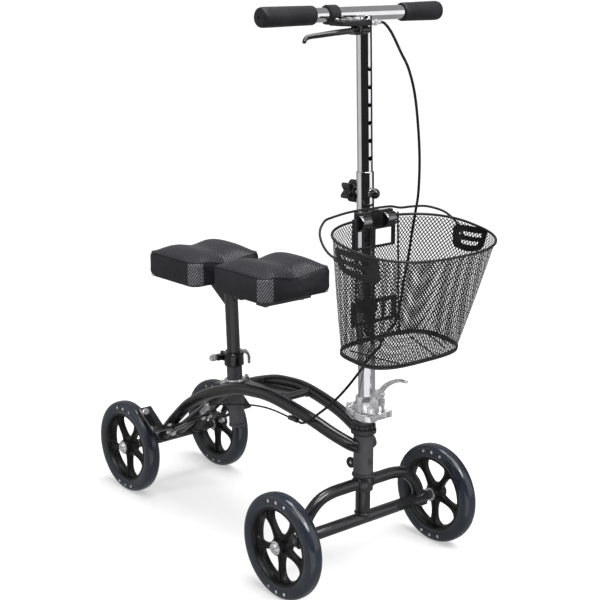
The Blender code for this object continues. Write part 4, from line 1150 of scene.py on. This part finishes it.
def handlebar_group():
    inner = pipe(stem_point(0.255), stem_point(0.7000), 0.014, 0.0124, 72, 0.0005)
    holes = []
    for i in range(6):
        start = stem_point(0.4502 + i * 0.0316)
        holes.append(rod(start, start + AHEAD * 0.02, 0.0042, 28))
    upright = together(cut(inner, holes), weld(stem_point(0.6905), STEM_DIRECTION, 0.0146, 0.0014))
    piece("column_upper", upright, "handlebar", CHROME, ["stem_inner_tube"])
    right_end, left_end = -0.2315, 0.1805
    bar = pipe(BAR_CENTRE + ACROSS * right_end, BAR_CENTRE + ACROSS * left_end, 0.0125, 0.0108, 64)
    piece("cross_tube", bar, "handlebar", CHROME, ["handlebar_bar"])
    for label, outer_end, length, side in (("right", 0.235, 0.116, -1), ("left", 0.184, 0.094, 1)):
        profile = [
            (0, length - 0.0031), (0.0129, length - 0.0031), (0.0129, 0), (0.0150, 0), (0.0162, 0.0012),
            (0.0165, 0.004), (0.0166, 0.03), (0.0170, length * 0.6), (0.0172, length - 0.012),
            (0.0171, length - 0.007), (0.0162, length - 0.0030), (0.0140, length - 0.0008),
            (0.0100, length), (0.0030, length), (0.0022, length - 0.0020), (0, length - 0.0020),
        ]
        start = BAR_CENTRE + ACROSS * side * (outer_end - length)
        sleeve = lathe(profile, start, ACROSS * side, 64)
        piece("foam_" + label, sleeve, "handlebar", FOAM, ["grip_" + label])


def lever_housing():
    ring = pipe(BAR_CENTRE - ACROSS * 0.089, BAR_CENTRE - ACROSS * 0.066, 0.0168, 0.0128, 56, 0.0016)
    clamp = soft_block((0.5960, -0.0870, 1.0270), (0.6120, -0.0680, 1.0330), 0.0020)
    arm = soft_block((0.6120, -0.0880, 1.0250), (0.6490, -0.0640, 1.0345), 0.0030, 3)
    outline = [(-0.072, 0.6180), (-0.072, 0.6490), (-0.058, 0.6505), (-0.042, 0.6510), (-0.016, 0.6460),
               (-0.012, 0.6410), (-0.012, 0.6320), (-0.020, 0.6280), (-0.040, 0.6265)]
    head = soft_prism(outline, 0.0104, (0, 0, 1.0294), ACROSS, AHEAD, 0.0026, 3)
    lower = soft_block((0.630, -0.056, 1.0095), (0.648, -0.034, 1.0117), 0.0006)
    black = together(ring, clamp, arm, head, lower)
    silver = [
        cap_head((0.6395, -0.0450, 1.0342), UP, 0.0052, 0.0046),
        bolt_head((0.6300, -0.0560, 1.0340), UP, 0.0046, 0.0040, 0.0062),
        cap_head((0.6240, -0.0780, 1.0340), UP, 0.0042, 0.0036),
        rod((0.637, -0.013, 1.029), (0.637, -0.004, 1.029), 0.0042, 24, 0.0006),
        knurled((0.637, -0.0045, 1.029), ACROSS, 0.0058, 0.0064),
        rod((0.637, 0.0010, 1.029), (0.637, 0.0110, 1.0285), 0.0036, 24, 0.0006),
        rod(LEVER_PIVOT - UP * 0.0085, LEVER_PIVOT - UP * 0.0068, 0.0048, 24, 0.0004),
    ]
    shape = together(black, *[tinted(each, 1) for each in silver])
    piece("lever_mount", shape, "handlebar", [PLASTIC, ZINC], ["lever_housing"])


def brake_lever():
    boss = rod(LEVER_PIVOT - UP * 0.0054, LEVER_PIVOT + UP * 0.0068, 0.0105, 40, 0.0012)
    knots = [
        (0.640, -0.018, 1.0172), (0.640, -0.040, 1.0170), (0.647, -0.066, 1.0170), (0.648, -0.095, 1.0157),
        (0.643, -0.130, 1.0125), (0.637, -0.153, 1.0095), (0.6365, -0.161, 1.004),
        (0.6375, -0.1625, 0.9995),
    ]
    path = smooth_path(knots, 8)
    blade = tapered(path, 28, first=(0.0030, 0.0034), last=(0.0016, 0.0018), size_at=lambda share: (
        0.0068 - 0.0036 * min(1, share * 1.3), 0.0062 - 0.0026 * share))
    piece("lever_blade", together(boss, blade), "brake_lever", GLOSS_BLACK, ["brake_lever"])


# Seat.

def pad_edge(y):
    """Height of a pad's upper seam over its bottom, lower across the valley for the shin."""
    return 0.0515 - 0.0095 * math.exp(-((y / 0.040) ** 2))


def pad_top(x, y):
    """Height of a pad's cover over its bottom: two humps for the shin with a valley between them."""
    fall_x = max(0, 1 - abs(x / PAD_HALF_LENGTH) ** 3)
    fall_y = max(0, 1 - abs(y / PAD_HALF_WIDTH) ** 3.5)
    dome = 0.0210 - 0.0065 * math.exp(-((y / 0.030) ** 2))
    return pad_edge(y) + fall_x * fall_y * dome


def pad_outline():
    """A rectangle with rounded corners about the origin, drawn with closely spaced points."""
    reach_x = PAD_HALF_LENGTH + PAD_FULLNESS - PAD_CORNER_RADIUS
    reach_y = PAD_HALF_WIDTH + PAD_FULLNESS - PAD_CORNER_RADIUS
    corners = []
    for turn, (x, y) in enumerate(((1, 1), (-1, 1), (-1, -1), (1, -1))):
        centre = Vector((reach_x * x, reach_y * y))
        angles = [math.pi / 2 * (turn + i / 11) for i in range(12)]
        corners.append([centre + PAD_CORNER_RADIUS * Vector((math.cos(a), math.sin(a))) for a in angles])
    outline = []
    for corner, following in zip(corners, corners[1:] + corners[:1]):
        outline += corner + [corner[-1].lerp(following[0], i / 20) for i in range(1, 20)]
    return outline


def pad_cover(name, outline):
    """The cover as rings from the bottom up, with the numbers of its held points and of its seam."""
    side_rings, top_rings = 12, 22
    around = len(outline)
    shape = bmesh.new()
    rings = []
    for scale in (0.30, 0.65, 0.90):
        rings.append([shape.verts.new((x * scale, y * scale, 0.0004)) for x, y in outline])
    for k in range(side_rings + 1):
        share = k / side_rings
        pull = 1 - 0.010 * math.sin(math.pi * share) - 0.045 * max(0, 1 - share * 5) ** 2
        pull -= 0.030 * max(0, share * 4 - 3) ** 2
        rings.append([shape.verts.new((x * pull, y * pull, 0.0030 + (pad_edge(y) - 0.0030) * share))
                      for x, y in outline])
    seam = len(rings) - 1
    for k in range(1, top_rings):
        reach = 0.97 * (1 - k / top_rings) ** 0.9
        rings.append([shape.verts.new((x * reach, y * reach, pad_top(x * reach, y * reach)))
                      for x, y in outline])
    for index, (low, high) in enumerate(zip(rings, rings[1:])):
        for i, (x, y) in enumerate(outline):
            j = (i + 1) % around
            face = shape.faces.new((low[i], low[j], high[j], high[i]))
            # Side faces on the front corner at the rider's right, the one the camera faces, take the third
            # finish: woven stripes brightened as painted sheen.
            corner = -0.96 < math.atan2(y, x) < -0.66
            face.material_index = 1 if index >= seam else 2 if index >= 3 and corner else 0
    bottom = shape.verts.new((0, 0, 0.0012))
    crown = shape.verts.new((0, 0, pad_top(0, 0)))
    for i in range(around):
        j = (i + 1) % around
        shape.faces.new((rings[0][j], rings[0][i], bottom))
        shape.faces.new((rings[-1][i], rings[-1][j], crown)).material_index = 1
    shape.verts.index_update()
    held = [vertex.index for ring in rings[:3] for vertex in ring] + [bottom.index]
    seam_numbers = [vertex.index for vertex in rings[seam]]
    mesh = bpy.data.meshes.new(name)
    outward(shape).to_mesh(mesh)
    shape.free()
    cover = bpy.data.objects.new(name, mesh)
    bpy.context.scene.collection.objects.link(cover)
    return cover, held, seam_numbers


def pad(name, node, middle_x, drop):
    """A stuffed pad: its cover is swollen by a short cloth run, then piped along the seam."""
    outline = pad_outline()
    cover, held, seam = pad_cover(name, outline)
    swell(cover, held, 0.006)
    seam_points = []
    for number in seam:
        vertex = cover.data.vertices[number]
        vertex.co -= Vector((vertex.co.x, vertex.co.y, 0)).normalized() * 0.0012
        vertex.co.z = 0.6 * vertex.co.z + 0.4 * pad_edge(vertex.co.y)
        seam_points.append(vertex.co.copy())
    fine = cover.modifiers.new("fine", "SUBSURF")
    fine.levels = fine.render_levels = 1
    graph = bpy.context.evaluated_depsgraph_get()
    cushion = bmesh.new()
    cushion.from_mesh(bpy.data.meshes.new_from_object(cover.evaluated_get(graph)))
    bpy.data.objects.remove(cover)
    piping = sweep(seam_points, 0.0011, 10, closed=True)
    binding = sweep([(x * 0.970, y * 0.970, 0.0030) for x, y in outline], 0.0008, 8, closed=True)
    whole = together(cushion, piping, binding)
    bmesh.ops.translate(whole, verts=whole.verts, vec=(middle_x, 0, PAD_BOTTOM - drop))
    made = piece(name, whole, "seat", [VINYL, WEAVE_AND_SHEEN, WOVEN_CORNER_SHEEN], [node], 60)


def swell(cover, held, cap):
    """Blow the cover up a little as cloth, holding some points and capping how far the rest move."""
    rest = [vertex.co.copy() for vertex in cover.data.vertices]
    group = cover.vertex_groups.new(name="held")
    group.add(held, 1.0, "REPLACE")
    scene = bpy.context.scene
    cloth = cover.modifiers.new("cloth", "CLOTH")
    fabric = cloth.settings
    fabric.quality = 6
    fabric.mass = 0.4
    fabric.tension_stiffness = fabric.compression_stiffness = 12
    fabric.bending_stiffness = 0.8
    fabric.effector_weights.gravity = 0
    fabric.use_pressure = True
    fabric.uniform_pressure_force = 3.0
    fabric.vertex_group_mass = "held"
    cloth.point_cache.frame_start = 1
    cloth.point_cache.frame_end = 16
    for number in range(1, 17):
        scene.frame_set(number)
    graph = bpy.context.evaluated_depsgraph_get()
    swollen = [vertex.co.copy() for vertex in cover.evaluated_get(graph).data.vertices]
    cover.modifiers.remove(cloth)
    scene.frame_set(1)
    for vertex, start, end in zip(cover.data.vertices, rest, swollen):
        move = end - start
        if move.length > cap:
            move *= cap / move.length
        vertex.co = start + move


def seat_group():
    shape = pipe(post_point(0.300), post_point(0.4785), 0.0138, 0.0118, 48)
    spoke = Vector((-0.45, -0.89, 0)).normalized()
    spots = []
    for height in (0.437, 0.412, 0.387):
        start = post_point(height)
        spots.append(rod(start + spoke * 0.005, start + spoke * 0.03, 0.0034, 20))
    piece("saddle_post", cut(shape, spots), "seat", PAINT, ["seat_post"])
    parts = [soft_block((0.085, -0.018, 0.4802), (0.396, 0.018, 0.4865), 0.0012)]
    for x, drop in ((0.372, 0), (0.300, 0), (0.096, 0.004), (0.150, 0.004)):
        top = PAD_BOTTOM + 0.0016 - drop
        parts.append(soft_block((x, -0.060, 0.4802), (x + 0.026, 0.060, top), 0.0010))
    for web in ([(0.135, 0.4815), (0.1985, 0.4815), (0.1985, 0.4380)],
                [(0.2280, 0.4815), (0.2700, 0.4815), (0.2280, 0.4500)]):
        parts.append(soft_prism(web, 0.010, ORIGIN, AHEAD, UP, 0.0008))
    parts.append(weld(post_point(0.4775), POST_DIRECTION, 0.0146))
    for x in (0.385, 0.109):
        for y in (-0.045, 0.045):
            parts.append(tinted(bolt_head((x, y, 0.4804), -UP, 0.0052, 0.0034, 0.0068), 1))
    piece("pad_rail", together(*parts), "seat", [BLACK_STEEL, ZINC], ["seat_carrier"])
    pad("front_cushion", "front_pad", 0.348, 0)
    pad("rear_cushion", "rear_pad", 0.123, 0.0085)


# Cable.

def cables():
    """The brake cable from the lever to the brake arms, cut where it passes from body to body.

    The two bodies and points given for the three runs that cross a joint are not used, and these runs are
    left unattached; the others ride on one.
    """
    upper = smooth_path([
        (0.637, 0.0092, 1.029), (0.6385, 0.020, 1.0265), (0.643, 0.034, 1.009), (0.649, 0.050, 0.977),
        (0.655, 0.066, 0.944), (0.660, 0.079, 0.890), (0.661, 0.090, 0.800), (0.654, 0.097, 0.726),
        (0.6405, 0.103, 0.680),
    ], 8)
    lower = smooth_path([
        (0.6405, 0.103, 0.680), (0.6355, 0.100, 0.640), (0.6345, 0.092, 0.590), (0.6365, 0.079, 0.550),
        (0.6395, 0.068, 0.505), (0.6415, 0.052, 0.477), (0.644, 0.026, 0.460), (0.653, 0.002, 0.443),
        (0.652, -0.016, 0.430), (0.643, -0.036, 0.402), (0.605, -0.036, 0.359), (0.571, -0.038, 0.325),
        (0.548, -0.046, 0.303), (0.527, -0.0535, 0.285), (0.503, -0.0520, 0.2710), (0.4780, -0.0440, 0.2676),
        (0.4650, -0.0432, 0.2675),
    ], 8)
    wire = smooth_path([
        (0.4650, -0.0432, 0.2675), (0.4512, -0.0425, 0.2675), (0.383, -0.037, 0.266), (0.310, -0.031, 0.254),
        (0.225, -0.024, 0.231), (0.190, -0.0215, 0.222), (0.1625, -0.0195, 0.216), (0.155, -0.0195, 0.2095),
    ], 8)
    # Points of the lower path: where it leaves the column, reaches the yoke, and meets the frame.
    hang, low, fixed = 56, 80, 112
    for name, path, body, radius, nodes in (
        ("upper", upper, ("handlebar", "stem", upper[8], upper[-1]), CABLE_RADIUS, ["brake_cable_upper"]),
        ("stem", lower[:hang + 1], "stem", CABLE_RADIUS, ["brake_cable_lower"]),
        ("fold", lower[hang:low + 1], ("stem", "steering", lower[hang], lower[low]), CABLE_RADIUS, ()),
        ("frame", lower[low:], ("steering", "frame", lower[low], lower[fixed]), CABLE_RADIUS, ()),
        ("brake", wire, "frame", THIN_CABLE_RADIUS, ["brake_wire"]),
    ):
        piece(f"cable_{name}_run", sweep(path, radius, 16), body, JACKET, nodes, None)


# Stage and camera.

def glowing(name, strength):
    look = bpy.data.materials.new(name)
    look.use_nodes = True
    tree = look.node_tree
    glow = tree.nodes.new("ShaderNodeEmission")
    glow.inputs["Strength"].default_value = strength
    tree.links.new(glow.outputs["Emission"], tree.nodes["Material Output"].inputs["Surface"])
    return look


def panel(name, location, size, strength, aim):
    """A card that only reflections see."""
    bpy.ops.mesh.primitive_plane_add(size=1, location=location)
    card = bpy.context.object
    card.name = name
    card.scale = (size[0], size[1], 1)
    direction = Vector((aim.x, aim.y, location.z)) - location
    card.rotation_euler = direction.to_track_quat("-Z", "Y").to_euler()
    card.data.materials.append(glowing(name, strength))
    card.visible_camera = False
    card.visible_diffuse = False
    card.visible_shadow = False
    card.visible_transmission = False


def soft_light(name, location, size, energy, aim):
    made = bpy.data.lights.new(name, "AREA")
    made.shape = "RECTANGLE"
    made.size, made.size_y = size
    made.energy = energy
    lamp = bpy.data.objects.new(name, made)
    bpy.context.scene.collection.objects.link(lamp)
    lamp.location = location
    lamp.rotation_euler = (Vector(aim) - Vector(location)).to_track_quat("-Z", "Y").to_euler()


def studio_floor():
    bpy.ops.mesh.primitive_plane_add(size=160, location=(0, 0, 0))
    floor = bpy.context.object
    floor.name = "studio_floor"
    paper = bpy.data.materials.new("studio_paper")
    paper.use_nodes = True
    shader = paper.node_tree.nodes["Principled BSDF"]
    for socket, value in (
        ("Base Color", (0.55, 0.55, 0.55, 1)), ("Roughness", 0.9), ("Specular IOR Level", 0.0),
        ("Emission Color", (1, 1, 1, 1)), ("Emission Strength", 0.45),
    ):
        shader.inputs[socket].default_value = value
    floor.data.materials.append(paper)
    floor.visible_glossy = False


def studio_backdrop():
    """A white sphere that only the camera sees, for views that look past the floor's edge."""
    bpy.ops.mesh.primitive_uv_sphere_add(segments=48, ring_count=24, radius=60, location=(0, 0, 0))
    backdrop = bpy.context.object
    backdrop.name = "studio_backdrop"
    backdrop.data.materials.append(glowing("studio_white", 1.0))
    backdrop.visible_diffuse = False
    backdrop.visible_glossy = False
    backdrop.visible_transmission = False
    backdrop.visible_shadow = False


def studio_world():
    world = bpy.data.worlds.new("studio_world")
    bpy.context.scene.world = world
    world.use_nodes = True
    world.node_tree.nodes["Background"].inputs["Color"].default_value = (1, 1, 1, 1)
    world.node_tree.nodes["Background"].inputs["Strength"].default_value = 0.32


def studio_camera():
    """The camera, and the level direction from the scooter towards it."""
    view = bpy.data.cameras.new("studio_camera")
    view.lens = 83.43
    view.sensor_width = 36
    camera = bpy.data.objects.new("studio_camera", view)
    bpy.context.scene.collection.objects.link(camera)
    camera.location = BASE + Vector((2.428, -1.685, 1.156))
    camera.rotation_euler = (math.radians(75.74), 0, math.radians(49.80))
    bpy.context.scene.camera = camera
    bpy.context.scene.view_settings.view_transform = "Standard"
    return Vector((camera.location.x, camera.location.y, 0)).normalized()


def studio_lights(away, sideways):
    centre = Vector((0, 0, 0.55))
    soft_light("key_light", away * 1.6 + sideways * 1.9 + UP * 2.6, (1.4, 1.0), 40, centre)
    soft_light("fill_light", away * 1.8 - sideways * 1.8 + UP * 1.9, (1.2, 1.2), 22, centre)
    soft_light("top_light", -away * 0.6 + UP * 3.0, (1.0, 1.0), 24, centre)
    made = bpy.data.lights.new("high_sun", "SUN")
    made.energy = 2.6
    made.angle = math.radians(50)
    sun = bpy.data.objects.new("high_sun", made)
    bpy.context.scene.collection.objects.link(sun)
    sun.rotation_euler = (-away * 0.25 - sideways * 0.25 - UP).to_track_quat("-Z", "Y").to_euler()


def studio_cards(away, sideways):
    """Upright cards round the column, by their turn from the camera, width, height and glow."""
    column = BASE + Vector((0.625, 0, 0))
    for name, turn, wide, height, glow in (
        ("dark_card_front", -29, 2.3, 0.95, 0.02), ("dark_card_middle", 24, 2.6, 0.95, 0.02),
        ("bright_card_right", 78, 1.5, 0.95, 1.1), ("dark_card_right", 124, 2.3, 0.95, 0.03),
        ("grey_card_left", -84, 2.4, 0.95, 0.65), ("pale_card_low", 5, 4.6, -0.85, 1.05),
    ):
        angle = math.radians(turn)
        direction = away * math.cos(angle) + sideways * math.sin(angle)
        panel(name, column + direction * 2.2 + UP * height, (wide, 1.8), glow, column)


def stage_and_camera():
    studio_floor()
    studio_backdrop()
    studio_world()
    away = studio_camera()
    sideways = Vector((-away.y, away.x, 0))
    studio_lights(away, sideways)
    studio_cards(away, sideways)


wheels()
main_frame()
seat_support()
seat_clamp()
headset()
frame_fittings()
rear_brake()
steering_group()
clamp_casting()
stem_group()
lock_lever()
knob_and_pin()
basket_group()
basket_mounts()
basket_handle()
handlebar_group()
lever_housing()
brake_lever()
seat_group()
cables()
stage_and_camera()
